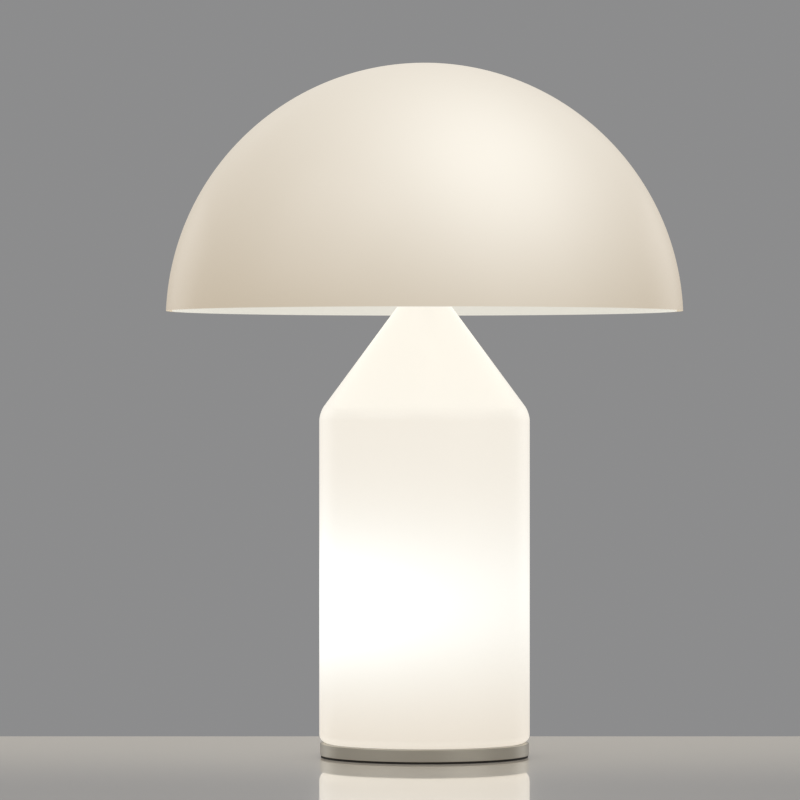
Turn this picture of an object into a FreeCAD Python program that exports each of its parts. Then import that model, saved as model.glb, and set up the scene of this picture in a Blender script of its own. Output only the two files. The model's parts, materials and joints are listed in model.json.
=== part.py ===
import FreeCAD, Part
import math
import os

import Sketcher

# Mushroom table lamp of opal glass. A domed shade rests loose on three padded arms. Under it a
# glass body, a cylinder that closes in a cone, stands on a turned steel base. A hollow threaded
# rod ties base, body and lamp cluster together. Two bulbs stand in a V under the shade and one
# stands inside the body. Millimetres, +Z up, Z = 0 on the table, the rod on the Z axis and the
# front towards -Y. Screw threads are left plain, at their mean diameter.

os.makedirs("parts", exist_ok=True)
doc = FreeCAD.newDocument("mushroom_table_lamp")
Vector = FreeCAD.Vector

# ---------------------------------------------------------------- driving dimensions

SIZES = {
    # shade: a slice of a sphere, a little less than half of it
    "shade_diameter": 380.0,
    "shade_wall": 4.5,
    "shade_overlap": 9.35,           # rim plane below the top of the body's neck
    "shade_centre_drop": 9.5,        # sphere's centre below the rim plane
    "shade_rim_rounding": 2.0,
    # body glass: foot, cylinder, cone and neck
    "body_diameter": 154.6,
    "body_wall": 4.5,
    "cone_half_angle": 36.4,         # degrees from the axis
    "shoulder_height": 253.1,        # where cylinder and cone would meet sharp
    "neck_diameter": 28.5,           # outside, at the ground top of the neck
    "shoulder_rounding": 18.0,
    "foot_rounding": 6.5,
    "foot_land": 2.0,                # flat ring that the glass stands on
    "foot_lip_height": 4.5,
    "glass_edge_rounding": 1.0,
    # base
    "base_setback": 0.55,            # base edge behind the glass
    "base_rim_height": 8.8,
    "base_edge_rounding": 0.6,
    "base_web": 3.0,
    "base_step_height": 6.5,
    "base_step_wall": 6.0,           # round the hollow underside
    "pad_thickness": 1.5,
    "pad_setback": 0.6,              # pad edge behind the base edge
    "pad_width": 9.0,
    "cover_thickness": 1.5,
    "cover_seat_width": 3.0,
    "cover_screw_inset": 10.0,       # from the hollow's wall to the screws' circle
    "cover_screw_count": 3.0,
    "cover_screw_turn": 60.0,        # degrees from +X to the first screw
    "cover_screw_length": 6.0,
    "cover_screw_spare": 1.0,        # hole past the screw's end
    "boss_radius": 3.6,
    "gasket_thickness": 0.8,
    "gasket_sunk": 0.6,
    "gasket_width": 4.0,
    # small machine screws
    "screw_radius": 1.5,
    "screw_head_radius": 2.8,
    "screw_head_height": 1.4,
    # mains inlet at the back of the base
    "cord_diameter": 5.2,
    "cord_axis_height": 5.5,
    "bush_wall": 0.65,
    "bush_length": 11.0,
    "bush_flange_radius": 3.7,
    "bush_flange_thickness": 1.2,
    "clamp_width": 22.0,
    "clamp_depth": 7.0,
    "clamp_floor": 1.4,
    "clamp_inset": 15.0,             # from the hollow's wall to the clamp's middle
    "clamp_screw_spacing": 15.0,
    "clamp_screw_bite": 5.0,
    "terminal_width": 25.0,
    "terminal_depth": 17.0,
    "terminal_height": 8.0,
    "terminal_offset": 27.0,
    "terminal_pole_spacing": 8.0,
    "terminal_screw_spacing": 10.0,
    "terminal_bore": 3.0,
    "terminal_screw_height": 2.2,
    # hollow threaded rods, their nuts and washers, and the tube round the long rod
    "rod_diameter": 10.0,
    "rod_bore": 7.0,
    "rod_end": 0.5,                  # of a rod under its nut
    "rod_nut_width": 14.0,           # across the flats
    "rod_nut_height": 3.5,
    "rod_washer_diameter": 20.0,
    "rod_washer_thickness": 1.0,
    "tube_gap": 0.8,                 # between the long rod and its tube
    "tube_wall": 1.2,
    "tube_take_up": 0.5,             # lets the collar press on the glass before the tube
    # neck clamp
    "neck_washer_diameter": 26.0,
    "neck_washer_thickness": 1.5,
    "collar_diameter": 29.0,
    "collar_thickness": 3.0,
    "collar_spigot_diameter": 14.6,
    "collar_spigot_length": 4.0,
    "collar_nut_diameter": 19.0,
    "collar_nut_height": 4.0,
    "collar_nut_notches": 12.0,
    "collar_nut_notch_radius": 1.1,
    # hub that carries the two upper bulbs
    "hub_diameter": 25.0,
    "hub_height": 20.0,
    "hub_wall": 4.0,
    "hub_floor": 3.5,
    "hub_edge": 1.0,
    "hub_bore_start": 6.0,           # where the sloping bores begin, out from the axis
    "hub_lid_diameter": 21.0,
    "hub_lid_thickness": 3.0,
    "hub_lid_spigot": 2.0,
    "lamp_tilt": 65.0,               # degrees between the upper bulbs' axes and the vertical
    "lamp_turn": 15.0,               # degrees, front bulb to the right of straight ahead
    "lamp_foot_offset": 17.0,        # foot of the upper sockets, out from the axis
    "lamp_foot_rise": 13.5,          # foot of the upper sockets above the hub's foot
    "nipple_grip": 3.4,              # how deep a nipple enters its socket
    # shade carrier
    "riser_diameter": 8.0,
    "spider_rise": 68.0,             # foot of the spider above the shade's rim plane
    "spider_diameter": 32.0,
    "spider_thickness": 8.0,
    "spider_edge": 1.5,
    "cap_nut_diameter": 14.0,
    "cap_nut_height": 9.0,
    "cap_nut_bore_depth": 6.5,
    "cap_nut_crown": 5.0,
    "arm_count": 3.0,
    "arm_turn": 45.0,                # degrees, first arm to the right of straight ahead
    "arm_diameter": 5.0,
    "arm_rise": 15.0,                # degrees above level where an arm leaves the spider
    "arm_latitude": 45.0,            # degrees above the sphere's centre where it meets the glass
    "arm_bend_radius": 20.0,
    "arm_grip": 8.0,                 # length of an arm inside the spider
    "tip_diameter": 11.0,
    "tip_length": 15.0,
    "tip_nose": 4.0,                 # silicone between arm end and glass
    "tip_rounding": 2.5,
    # bulb inside the body
    "post_offset": 38.0,
    "post_turn": -72.0,              # degrees to the right of straight ahead
    "body_bulb_height": 112.0,       # middle of its globe
    # screw sockets, heights from the socket's foot
    "socket_diameter": 28.0,
    "socket_length": 36.0,
    "socket_cap_height": 12.0,
    "socket_cap_floor": 3.5,
    "socket_cap_wall": 2.0,
    "socket_cap_rounding": 2.0,
    "core_foot": 8.0,
    "core_height": 5.0,
    "core_lead_hole_radius": 1.2,
    "core_lead_hole_offset": 6.5,
    "shell_setback": 1.0,            # barrel behind the cap's outside
    "shell_wall": 2.4,
    "shell_flange_height": 2.0,
    "shell_lip_height": 3.0,
    "shell_lip_proud": 0.8,
    "shell_lip_rounding": 1.0,
    "shell_ledge_height": 1.5,
    "thread_wall": 0.4,
    "thread_length": 19.0,
    "thread_flange_width": 1.0,
    "thread_floor_hole": 8.0,
    "contact_rise": 2.0,
    "contact_head_radius": 2.6,
    "contact_head_height": 0.7,
    "contact_stem_radius": 1.2,
    "contact_tail": 1.5,
    # bulbs, heights from the solder tip
    "bulb_diameter": 45.0,
    "bulb_length": 78.0,
    "bulb_wall": 1.0,
    "bulb_neck_step": 0.5,           # neck wider than the screw, on the radius
    "bulb_neck_foot": 22.5,
    "bulb_neck_top": 26.0,
    "bulb_neck_rounding": 8.0,
    "bulb_screw_diameter": 13.4,
    "bulb_cap_wall": 0.4,
    "bulb_cap_foot": 4.3,
    "bulb_skirt_foot": 20.0,
    "bulb_skirt_height": 2.0,        # of the flare, and again of the straight skirt
    "insulator_foot": 1.0,
    "insulator_foot_radius": 3.4,
    "insulator_shoulder": 4.2,
    "insulator_top": 6.2,
    "solder_radius": 2.2,
    "solder_length": 1.8,
    "solder_rounding": 0.8,
    # clearances, on the radius or on the face
    "moving_clearance": 0.3,
    "glass_clearance": 0.8,
    "seat_clearance": 0.1,
    "rod_clearance": 0.15,
}

sizes = doc.addObject("Spreadsheet::Sheet", "sizes")
for row, (alias, value) in enumerate(SIZES.items(), start=1):
    sizes.set(f"A{row}", alias)
    sizes.set(f"B{row}", str(value))
    sizes.setAlias(f"B{row}", alias)
doc.recompute()

# ---------------------------------------------------------------- modelling helpers

places = doc.addObject("App::VarSet", "places")


def number(formula):
    """The value of a formula that names cells of the sheet and earlier places."""
    return float(sizes.evalExpression(formula))


def place(name, formula):
    """Adds a value that is worked out from the sheet, and returns its name for formulas."""
    places.addProperty("App::PropertyFloat", name, "Places")
    places.setExpression(name, formula)
    doc.recompute()
    return f"places.{name}"


def new_body(label, x="0", y="0", z="0", turn="0", tilt="0", roll="0"):
    """A body whose frame is rolled about X, tilted towards +X, turned about Z and put in place."""
    body = doc.addObject("PartDesign::Body", label)
    body.Label = label
    body.setExpression(
        "Placement", f"placement(vector({x}; {y}; {z}); rotation({turn}; {tilt}; {roll}))")
    return body


def origin_feature(body, role):
    return next(item for item in body.Origin.OriginFeatures if item.Role == role)


def new_sketch(body, role, foot="0"):
    sketch = body.newObject("Sketcher::SketchObject", f"{body.Name}_sketch")
    sketch.AttachmentSupport = [(origin_feature(body, role), "")]
    sketch.MapMode = "FlatFace"
    sketch.setExpression("AttachmentOffset", f"placement(vector(0; 0; {foot}); rotation(0; 0; 0))")
    return sketch


def bind(sketch, kind, *target, formula):
    """Adds one dimension to a sketch and ties it to a formula."""
    index = sketch.addConstraint(Sketcher.Constraint(kind, *target, number(formula)))
    sketch.setExpression(f"Constraints[{index}]", formula)


def add_outline(sketch, corners):
    """A closed outline of straight edges and arcs.

    A corner is a pair of formulas. A triple between two corners makes the edge between them an
    arc, by its centre and radius. A corner beside an arc gives one formula and None, and lies
    on the arc, above its centre or to the right of it.
    """
    points = []
    arcs = {}
    for corner in corners:
        if len(corner) == 3:
            arcs[len(points) - 1] = corner
        else:
            points.append(corner)
    count = len(points)
    known = []
    for index, (x, y) in enumerate(points):
        if x is not None and y is not None:
            known.append(Vector(number(x), number(y), 0))
            continue
        arc = arcs.get(index) or arcs[(index - 1) % count]
        middle_x, middle_y, radius = (number(term) for term in arc)
        if x is None:
            reach = math.sqrt(radius ** 2 - (number(y) - middle_y) ** 2)
            known.append(Vector(middle_x + reach, number(y), 0))
        else:
            reach = math.sqrt(radius ** 2 - (number(x) - middle_x) ** 2)
            known.append(Vector(number(x), middle_y + reach, 0))
    first = sketch.GeometryCount
    ends = []
    for index in range(count):
        start = known[index]
        end = known[(index + 1) % count]
        if index not in arcs:
            sketch.addGeometry(Part.LineSegment(start, end), False)
            ends.append((1, 2))
            continue
        middle_x, middle_y, radius = (number(term) for term in arcs[index])
        circle = Part.Circle(Vector(middle_x, middle_y, 0), Vector(0, 0, 1), radius)
        start_angle = math.atan2(start.y - middle_y, start.x - middle_x)
        end_angle = math.atan2(end.y - middle_y, end.x - middle_x)
        low, high = sorted((start_angle, end_angle))
        sketch.addGeometry(Part.ArcOfCircle(circle, low, high), False)
        ends.append((1, 2) if start_angle < end_angle else (2, 1))
    for index in range(count):
        following = (index + 1) % count
        sketch.addConstraint(Sketcher.Constraint(
            "Coincident", first + index, ends[index][1], first + following, ends[following][0]))
    for index, (x, y) in enumerate(points):
        if x is not None:
            bind(sketch, "DistanceX", -1, 1, first + index, ends[index][0], formula=x)
        if y is not None:
            bind(sketch, "DistanceY", -1, 1, first + index, ends[index][0], formula=y)
    for index, (middle_x, middle_y, radius) in arcs.items():
        bind(sketch, "DistanceX", -1, 1, first + index, 3, formula=middle_x)
        bind(sketch, "DistanceY", -1, 1, first + index, 3, formula=middle_y)
        bind(sketch, "Radius", first + index, formula=radius)


def add_circle(sketch, x, y, radius):
    circle = Part.Circle(Vector(number(x), number(y), 0), Vector(0, 0, 1), number(radius))
    index = sketch.addGeometry(circle, False)
    bind(sketch, "DistanceX", -1, 1, index, 3, formula=x)
    bind(sketch, "DistanceY", -1, 1, index, 3, formula=y)
    bind(sketch, "Radius", index, formula=radius)


def hexagon(x, y, width):
    """The corners of a hexagon by its width across the flats."""
    return [(f"{x} + {width} / sqrt(3) * cos({angle})", f"{y} + {width} / sqrt(3) * sin({angle})")
            for angle in range(0, 360, 60)]


def done(feature):
    """Recomputes a feature and stops if it failed."""
    doc.recompute()
    if "Invalid" in feature.State or "Error" in feature.State or feature.Shape.isNull():
        raise RuntimeError(f"{feature.Name} failed: {feature.State}")
    return feature


def turned(body, corners):
    """Turns an outline of (radius, height) corners about the body's Z axis."""
    sketch = new_sketch(body, "XZ_Plane")
    add_outline(sketch, corners)
    feature = body.newObject("PartDesign::Revolution", f"{body.Name}_turned")
    feature.Profile = sketch
    feature.ReferenceAxis = (sketch, ["V_Axis"])
    feature.Angle = 360
    return done(feature)


def ring(body, inner, outer, height):
    """A plain turned ring that stands on the body's XY plane."""
    return turned(body, [(inner, "0"), (outer, "0"), (outer, height), (inner, height)])


def padded(body, height, circles=(), outlines=(), foot="0"):
    """Pads circles and outlines upwards from a plane at the height foot."""
    sketch = new_sketch(body, "XY_Plane", foot)
    for circle in circles:
        add_circle(sketch, *circle)
    for outline in outlines:
        add_outline(sketch, outline)
    feature = body.newObject("PartDesign::Pad", f"{body.Name}_pad")
    feature.Profile = sketch
    feature.setExpression("Length", height)
    return done(feature)


def shaped(body, way, kind, x, y, z, turn, tilt, roll, dimensions):
    """Adds a primitive to a body or cuts it out, with its sizes bound to formulas."""
    feature = body.newObject(f"PartDesign::{way}{kind}", f"{body.Name}_{kind}")
    for name, formula in dimensions.items():
        feature.setExpression(name, formula)
    feature.setExpression(
        "Placement", f"placement(vector({x}; {y}; {z}); rotation({turn}; {tilt}; {roll}))")
    return done(feature)


def added(body, kind, x, y, z, turn="0", tilt="0", roll="0", **dimensions):
    return shaped(body, "Additive", kind, x, y, z, turn, tilt, roll, dimensions)


def cut(body, kind, x, y, z, turn="0", tilt="0", roll="0", **dimensions):
    """Cuts a primitive out of a body, and stops if nothing came away."""
    before = body.Shape.Volume
    feature = shaped(body, "Subtractive", kind, x, y, z, turn, tilt, roll, dimensions)
    if body.Shape.Volume >= before:
        raise RuntimeError(f"{feature.Name} cuts nothing")
    return feature


def rounded(body, radius, *edges):
    """Rounds turned edges, each named by its radius and height in the body's frame."""
    base = body.Tip
    names = set()
    for edge_radius, height in edges:
        found = [
            f"Edge{index}" for index, edge in enumerate(base.Shape.Edges, start=1)
            if not edge.Degenerated and isinstance(edge.Curve, Part.Circle)
            and math.hypot(edge.Curve.Center.x, edge.Curve.Center.y) < 1e-4
            and abs(edge.Curve.Radius - number(edge_radius)) < 1e-3
            and abs(edge.Curve.Center.z - number(height)) < 1e-3]
        if not found:
            raise RuntimeError(f"{body.Name}: no edge at {edge_radius}, {height}")
        names.update(found)
    feature = body.newObject("PartDesign::Fillet", f"{body.Name}_rounding")
    feature.Base = (base, sorted(names))
    feature.setExpression("Radius", radius)
    return done(feature)


def repeated(body, features, count):
    """Repeats features round the body's Z axis."""
    pattern = body.newObject("PartDesign::PolarPattern", f"{body.Name}_pattern")
    pattern.Originals = features
    pattern.Axis = (origin_feature(body, "Z_Axis"), [""])
    pattern.Angle = 360
    pattern.setExpression("Occurrences", count)
    body.Tip = pattern
    return done(pattern)


def primitive(kind, name, x, y, z, roll="0", **dimensions):
    """A Part primitive with bound sizes, rolled about X and put at (x, y, z)."""
    item = doc.addObject(f"Part::{kind}", name)
    for dimension, formula in dimensions.items():
        item.setExpression(dimension, formula)
    item.setExpression(
        "Placement", f"placement(vector({x}; {y}; {z}); rotation(0; 0; {roll}))")
    return item


sub_parts = []


def keep(item):
    """Counts a finished object among the sub-parts that are written out."""
    sub_parts.append(item)
    return item


# ---------------------------------------------------------------- base

place("body_radius", "sizes.body_diameter / 2")
place("foot_inner", "places.body_radius - sizes.foot_rounding - sizes.foot_land")
place("base_radius", "places.body_radius - sizes.base_setback")
place("base_top", "sizes.pad_thickness + sizes.base_rim_height")
place("step_radius", "places.foot_inner - sizes.glass_clearance")
place("step_top", "places.base_top + sizes.base_step_height")
place("web_foot", "places.step_top - sizes.base_web")
place("wiring_radius", "places.step_radius - sizes.base_step_wall")
place("cover_seat", "places.wiring_radius + sizes.cover_seat_width")
place("cover_top", "sizes.pad_thickness + sizes.cover_thickness")
place("rod_radius", "sizes.rod_diameter / 2")
place("rod_hole", "places.rod_radius + sizes.rod_clearance")
place("nut_foot", "places.web_foot - sizes.rod_washer_thickness - sizes.rod_nut_height")
place("rod_foot", "places.nut_foot - sizes.rod_end")
place("screw_hole", "sizes.screw_radius + sizes.seat_clearance")
place("screw_circle", "places.wiring_radius - sizes.cover_screw_inset")
place("gasket_inner", "places.foot_inner + sizes.seat_clearance")
place("gasket_outer", "places.gasket_inner + sizes.gasket_width")
place("post_x", "sizes.post_offset * sin(sizes.post_turn)")
place("post_y", "-1 * sizes.post_offset * cos(sizes.post_turn)")
place("cord_radius", "sizes.cord_diameter / 2")
place("bush_radius", "places.cord_radius + sizes.bush_wall")
place("clamp_back", "places.wiring_radius - sizes.clamp_inset")
place("clamp_foot", "places.cover_top + sizes.moving_clearance")
place("clamp_channel", "places.clamp_foot + sizes.clamp_floor + places.cord_radius")
place("clamp_top", "places.clamp_channel + places.cord_radius")


def make_foot_pad():
    body = keep(new_body("foot_pad"))
    place("pad_outer", "places.base_radius - sizes.pad_setback")
    ring(body, "places.pad_outer - sizes.pad_width", "places.pad_outer", "sizes.pad_thickness")


def clamp_outline():
    """Footprint of the cord clamp and of its seat."""
    side = "sizes.clamp_width / 2"
    front = "places.clamp_back - sizes.clamp_depth / 2"
    back = "places.clamp_back + sizes.clamp_depth / 2"
    return [(f"-1 * {side}", front), (side, front), (side, back), (f"-1 * {side}", back)]


def cover_screw_sites():
    """Where the cover's screws stand, evenly round the axis."""
    turns = [f"(sizes.cover_screw_turn + {index} * 360 / sizes.cover_screw_count)"
             for index in range(int(number("sizes.cover_screw_count")))]
    return [(f"places.screw_circle * cos({turn})", f"places.screw_circle * sin({turn})")
            for turn in turns]


def make_base_disc():
    """Turned disc: a rim, a raised step that centres the glass, and a hollow underside.

    Under its web hang three screw bosses and the seat that the cord is clamped against.
    """
    body = keep(new_body("base_disc", z="sizes.pad_thickness"))
    web = place("disc_web_foot", "places.web_foot - sizes.pad_thickness")
    top = place("disc_step_top", "places.step_top - sizes.pad_thickness")
    rim = "sizes.base_rim_height"
    seat = "sizes.base_rim_height - sizes.gasket_sunk"
    groove_inner = "places.gasket_inner - sizes.seat_clearance"
    groove_outer = "places.gasket_outer + sizes.seat_clearance"
    turned(body, [
        ("places.rod_hole", web), ("places.wiring_radius", web),
        ("places.wiring_radius", "sizes.cover_thickness"),
        ("places.cover_seat", "sizes.cover_thickness"), ("places.cover_seat", "0"),
        ("places.base_radius", "0"), ("places.base_radius", rim),
        (groove_outer, rim), (groove_outer, seat), (groove_inner, seat), (groove_inner, rim),
        ("places.step_radius", rim), ("places.step_radius", top), ("places.rod_hole", top)])
    rounded(body, "sizes.base_edge_rounding", ("places.base_radius", "0"),
            ("places.base_radius", rim), ("places.step_radius", top))
    padded(body, f"{web} - sizes.cover_thickness", foot="sizes.cover_thickness",
           circles=[(x, y, "sizes.boss_radius") for x, y in cover_screw_sites()])
    for x, y in cover_screw_sites():
        cut(body, "Cylinder", x, y, "0", Radius="places.screw_hole",
            Height="sizes.cover_screw_length + sizes.cover_screw_spare")
    padded(body, "places.web_foot - places.clamp_top",
           foot="places.clamp_top - sizes.pad_thickness", outlines=[clamp_outline()])
    cut(body, "Cylinder", "places.post_x", "places.post_y", "0",
        Radius="places.rod_hole", Height=top)
    cut(body, "Cylinder", "0", "places.wiring_radius - sizes.cover_seat_width",
        "sizes.cord_axis_height - sizes.pad_thickness", roll="-90",
        Radius="places.bush_radius + sizes.seat_clearance", Height="places.base_radius")
    for side in (-1, 1):
        cut(body, "Cylinder", f"{side} * sizes.clamp_screw_spacing / 2", "places.clamp_back", "0",
            Radius="places.screw_hole",
            Height="places.clamp_top - sizes.pad_thickness + sizes.clamp_screw_bite")


def make_base_cover():
    body = keep(new_body("base_cover", z="sizes.pad_thickness"))
    padded(body, "sizes.cover_thickness",
           circles=[("0", "0", "places.cover_seat - sizes.seat_clearance")])
    for x, y in cover_screw_sites():
        cut(body, "Cylinder", x, y, "0", Radius="places.screw_hole",
            Height="sizes.cover_thickness")
        cut(body, "Cone", x, y, "0", Radius1="sizes.screw_head_radius + sizes.seat_clearance",
            Radius2="places.screw_hole", Height="sizes.screw_head_height")


def make_cover_screws():
    """Countersunk screws, flush with the cover."""
    body = keep(new_body("cover_screws", z="sizes.pad_thickness"))
    padded(body, "sizes.cover_screw_length",
           circles=[(x, y, "sizes.screw_radius") for x, y in cover_screw_sites()])
    for x, y in cover_screw_sites():
        added(body, "Cone", x, y, "0", Radius1="sizes.screw_head_radius",
              Radius2="sizes.screw_radius", Height="sizes.screw_head_height")


def make_body_gasket():
    body = keep(new_body("body_gasket", z="places.base_top - sizes.gasket_sunk"))
    ring(body, "places.gasket_inner", "places.gasket_outer", "sizes.gasket_thickness")


def make_cord_bush():
    """Inlet bush, its axis level and its flange outside the rim."""
    body = keep(new_body(
        "cord_bush", y="places.base_radius", z="sizes.cord_axis_height", roll="-90"))
    turned(body, [
        ("places.cord_radius", "-1 * sizes.bush_length"),
        ("places.bush_radius", "-1 * sizes.bush_length"), ("places.bush_radius", "0"),
        ("sizes.bush_flange_radius", "0"),
        ("sizes.bush_flange_radius", "sizes.bush_flange_thickness"),
        ("places.cord_radius", "sizes.bush_flange_thickness")])


def make_cord_clamp():
    """Saddle that presses the cord up against its seat."""
    foot = "places.clamp_foot"
    front = "places.clamp_back - sizes.clamp_depth / 2"
    block = primitive("Box", "clamp_block", "-1 * sizes.clamp_width / 2", front, foot,
                      Length="sizes.clamp_width", Width="sizes.clamp_depth",
                      Height="places.clamp_top - places.clamp_foot")
    channel = primitive("Cylinder", "clamp_round", "0", front, "places.clamp_channel", roll="-90",
                        Radius="places.cord_radius", Height="sizes.clamp_depth")
    slot = primitive("Box", "clamp_slot", "-1 * places.cord_radius", front,
                     "places.clamp_channel", Length="sizes.cord_diameter",
                     Width="sizes.clamp_depth", Height="places.cord_radius")
    tools = [channel, slot]
    for side in (-1, 1):
        x = f"{side} * sizes.clamp_screw_spacing / 2"
        tools.append(primitive("Cylinder", "clamp_hole", x, "places.clamp_back", foot,
                               Radius="places.screw_hole", Height="places.clamp_top"))
        tools.append(primitive("Cylinder", "clamp_counterbore", x, "places.clamp_back", foot,
                               Radius="sizes.screw_head_radius + sizes.seat_clearance",
                               Height="sizes.screw_head_height + sizes.seat_clearance"))
    removed = doc.addObject("Part::MultiFuse", "clamp_removed")
    removed.Shapes = tools
    clamp = keep(doc.addObject("Part::Cut", "cord_clamp"))
    clamp.Base = block
    clamp.Tool = removed
    done(clamp)


def make_clamp_screws():
    body = keep(new_body("clamp_screws", z="places.clamp_foot"))
    sites = [(f"{side} * sizes.clamp_screw_spacing / 2", "places.clamp_back") for side in (-1, 1)]
    padded(body, "sizes.screw_head_height",
           circles=[(x, y, "sizes.screw_head_radius") for x, y in sites])
    padded(body, "places.clamp_top - places.clamp_foot + sizes.clamp_screw_bite",
           circles=[(x, y, "sizes.screw_radius") for x, y in sites])


def terminal_sites():
    """Where the clamp screws of the terminal block stand, two to each pole."""
    return [(f"sizes.terminal_offset + {side} * sizes.terminal_screw_spacing / 2",
             f"{pole} * sizes.terminal_pole_spacing")
            for side in (-1, 1) for pole in (-1, 0, 1)]


def make_terminal_block():
    """Three-pole block under the web, with a bore along each pole and its screw wells."""
    foot = place("terminal_foot", "places.web_foot - sizes.terminal_height")
    body = keep(new_body("terminal_block", z=foot))
    left = "sizes.terminal_offset - sizes.terminal_depth / 2"
    right = "sizes.terminal_offset + sizes.terminal_depth / 2"
    back = "sizes.terminal_width / 2"
    front = "-1 * sizes.terminal_width / 2"
    padded(body, "sizes.terminal_height",
           outlines=[[(left, front), (right, front), (right, back), (left, back)]])
    for pole in (-1, 0, 1):
        cut(body, "Cylinder", left, f"{pole} * sizes.terminal_pole_spacing",
            "sizes.terminal_height / 2", tilt="90", Radius="sizes.terminal_bore / 2",
            Height="sizes.terminal_depth")
    for x, y in terminal_sites():
        cut(body, "Cylinder", x, y, "0", Radius="places.screw_hole",
            Height="sizes.terminal_height / 2")


def make_terminal_screws():
    body = keep(new_body("terminal_screws", z="places.terminal_foot + sizes.moving_clearance"))
    padded(body, "sizes.terminal_screw_height",
           circles=[(x, y, "sizes.screw_radius") for x, y in terminal_sites()])


# ---------------------------------------------------------------- rods and their fasteners

place("body_foot", "places.base_top + sizes.gasket_thickness - sizes.gasket_sunk")
place("neck_outer", "sizes.neck_diameter / 2")
place("neck_height",
      "sizes.shoulder_height"
      " + (places.body_radius - places.neck_outer) / tan(sizes.cone_half_angle)")
place("neck_inner", "places.neck_outer - sizes.body_wall / cos(sizes.cone_half_angle)")
place("collar_foot", "places.neck_height + sizes.neck_washer_thickness")
place("collar_top", "places.collar_foot + sizes.collar_thickness")
place("hub_foot", "places.collar_top + sizes.collar_nut_height")
place("hub_top", "places.hub_foot + sizes.hub_height")
place("lamp_foot", "places.hub_foot + sizes.lamp_foot_rise")
place("chamber_radius", "sizes.hub_diameter / 2 - sizes.hub_wall")
place("core_top", "sizes.core_foot + sizes.core_height")
place("contact_top", "places.core_top + sizes.contact_rise + sizes.contact_head_height")
place("bulb_seat", "places.contact_top + sizes.moving_clearance")
place("screw_radius", "sizes.bulb_screw_diameter / 2")
place("thread_bore", "places.screw_radius + sizes.moving_clearance")
place("bulb_radius", "sizes.bulb_diameter / 2")
place("globe_middle", "sizes.bulb_length - places.bulb_radius")
place("post_top", "sizes.body_bulb_height - places.globe_middle - places.bulb_seat")


def make_tie_rod():
    body = keep(new_body("tie_rod", z="places.rod_foot"))
    ring(body, "sizes.rod_bore / 2", "places.rod_radius",
         "places.hub_foot + sizes.hub_floor - places.rod_foot")


def make_lamp_post():
    """Short threaded rod that carries the socket inside the body."""
    body = keep(new_body("lamp_post", "places.post_x", "places.post_y", "places.rod_foot"))
    ring(body, "sizes.rod_bore / 2", "places.rod_radius",
         "places.post_top + sizes.nipple_grip - places.rod_foot")


def make_rod_nuts():
    """One nut under the web for each rod, and one on top of it for the short rod."""
    body = keep(new_body("rod_nuts", z="places.nut_foot"))
    hole = "places.rod_radius + sizes.seat_clearance"
    post = ("places.post_x", "places.post_y")
    padded(body, "sizes.rod_nut_height",
           circles=[("0", "0", hole), (*post, hole)],
           outlines=[hexagon("0", "0", "sizes.rod_nut_width"),
                     hexagon(*post, "sizes.rod_nut_width")])
    padded(body, "sizes.rod_nut_height", foot="places.step_top - places.nut_foot",
           circles=[(*post, hole)], outlines=[hexagon(*post, "sizes.rod_nut_width")])


def make_rod_washers():
    body = keep(new_body("rod_washers", z="places.web_foot - sizes.rod_washer_thickness"))
    sites = [("0", "0"), ("places.post_x", "places.post_y")]
    radii = ("places.rod_radius + sizes.seat_clearance", "sizes.rod_washer_diameter / 2")
    padded(body, "sizes.rod_washer_thickness",
           circles=[(*site, radius) for site in sites for radius in radii])


def make_stem_tube():
    body = keep(new_body("stem_tube", z="places.step_top"))
    bore = "places.rod_radius + sizes.tube_gap"
    ring(body, bore, f"{bore} + sizes.tube_wall",
         "places.neck_height - sizes.collar_spigot_length - sizes.tube_take_up - places.step_top")


# ---------------------------------------------------------------- body glass and neck clamp


def make_body_glass():
    """Blown body: a foot turned in, a straight cylinder and a cone with an open neck."""
    body = keep(new_body("body_glass", z="places.body_foot"))
    outer = "places.body_radius"
    inner = place("body_inner", "places.body_radius - sizes.body_wall")
    shoulder = place("glass_shoulder", "sizes.shoulder_height - places.body_foot")
    neck = place("glass_neck", "places.neck_height - places.body_foot")
    inner_shoulder = place(
        "glass_inner_shoulder",
        "places.glass_neck - (places.body_inner - places.neck_inner) / tan(sizes.cone_half_angle)")
    inner_foot = place(
        "glass_inner_foot", "sizes.foot_lip_height + places.body_inner - places.foot_inner")
    turned(body, [
        ("places.foot_inner", "0"), (outer, "0"), (outer, shoulder), ("places.neck_outer", neck),
        ("places.neck_inner", neck), (inner, inner_shoulder), (inner, inner_foot),
        ("places.foot_inner", "sizes.foot_lip_height")])
    rounded(body, "sizes.foot_rounding", (outer, "0"))
    rounded(body, "sizes.shoulder_rounding", (outer, shoulder))
    rounded(body, "sizes.shoulder_rounding - sizes.body_wall", (inner, inner_shoulder))
    rounded(body, "sizes.glass_edge_rounding", ("places.neck_outer", neck),
            ("places.foot_inner", "sizes.foot_lip_height"), (inner, inner_foot))


def make_neck_washer():
    body = keep(new_body("neck_washer", z="places.neck_height"))
    ring(body, "sizes.collar_spigot_diameter / 2 + sizes.seat_clearance",
         "sizes.neck_washer_diameter / 2", "sizes.neck_washer_thickness")


def make_neck_collar():
    """Flanged collar whose spigot centres the neck on the rod."""
    body = keep(new_body("neck_collar", z="places.collar_foot"))
    spigot = "sizes.collar_spigot_diameter / 2"
    flange = "sizes.collar_diameter / 2"
    tail = "-1 * sizes.neck_washer_thickness - sizes.collar_spigot_length"
    turned(body, [
        ("places.rod_hole", tail), (spigot, tail), (spigot, "0"), (flange, "0"),
        (flange, "sizes.collar_thickness"), ("places.rod_hole", "sizes.collar_thickness")])
    rounded(body, "sizes.hub_edge", (flange, "sizes.collar_thickness"))


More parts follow.
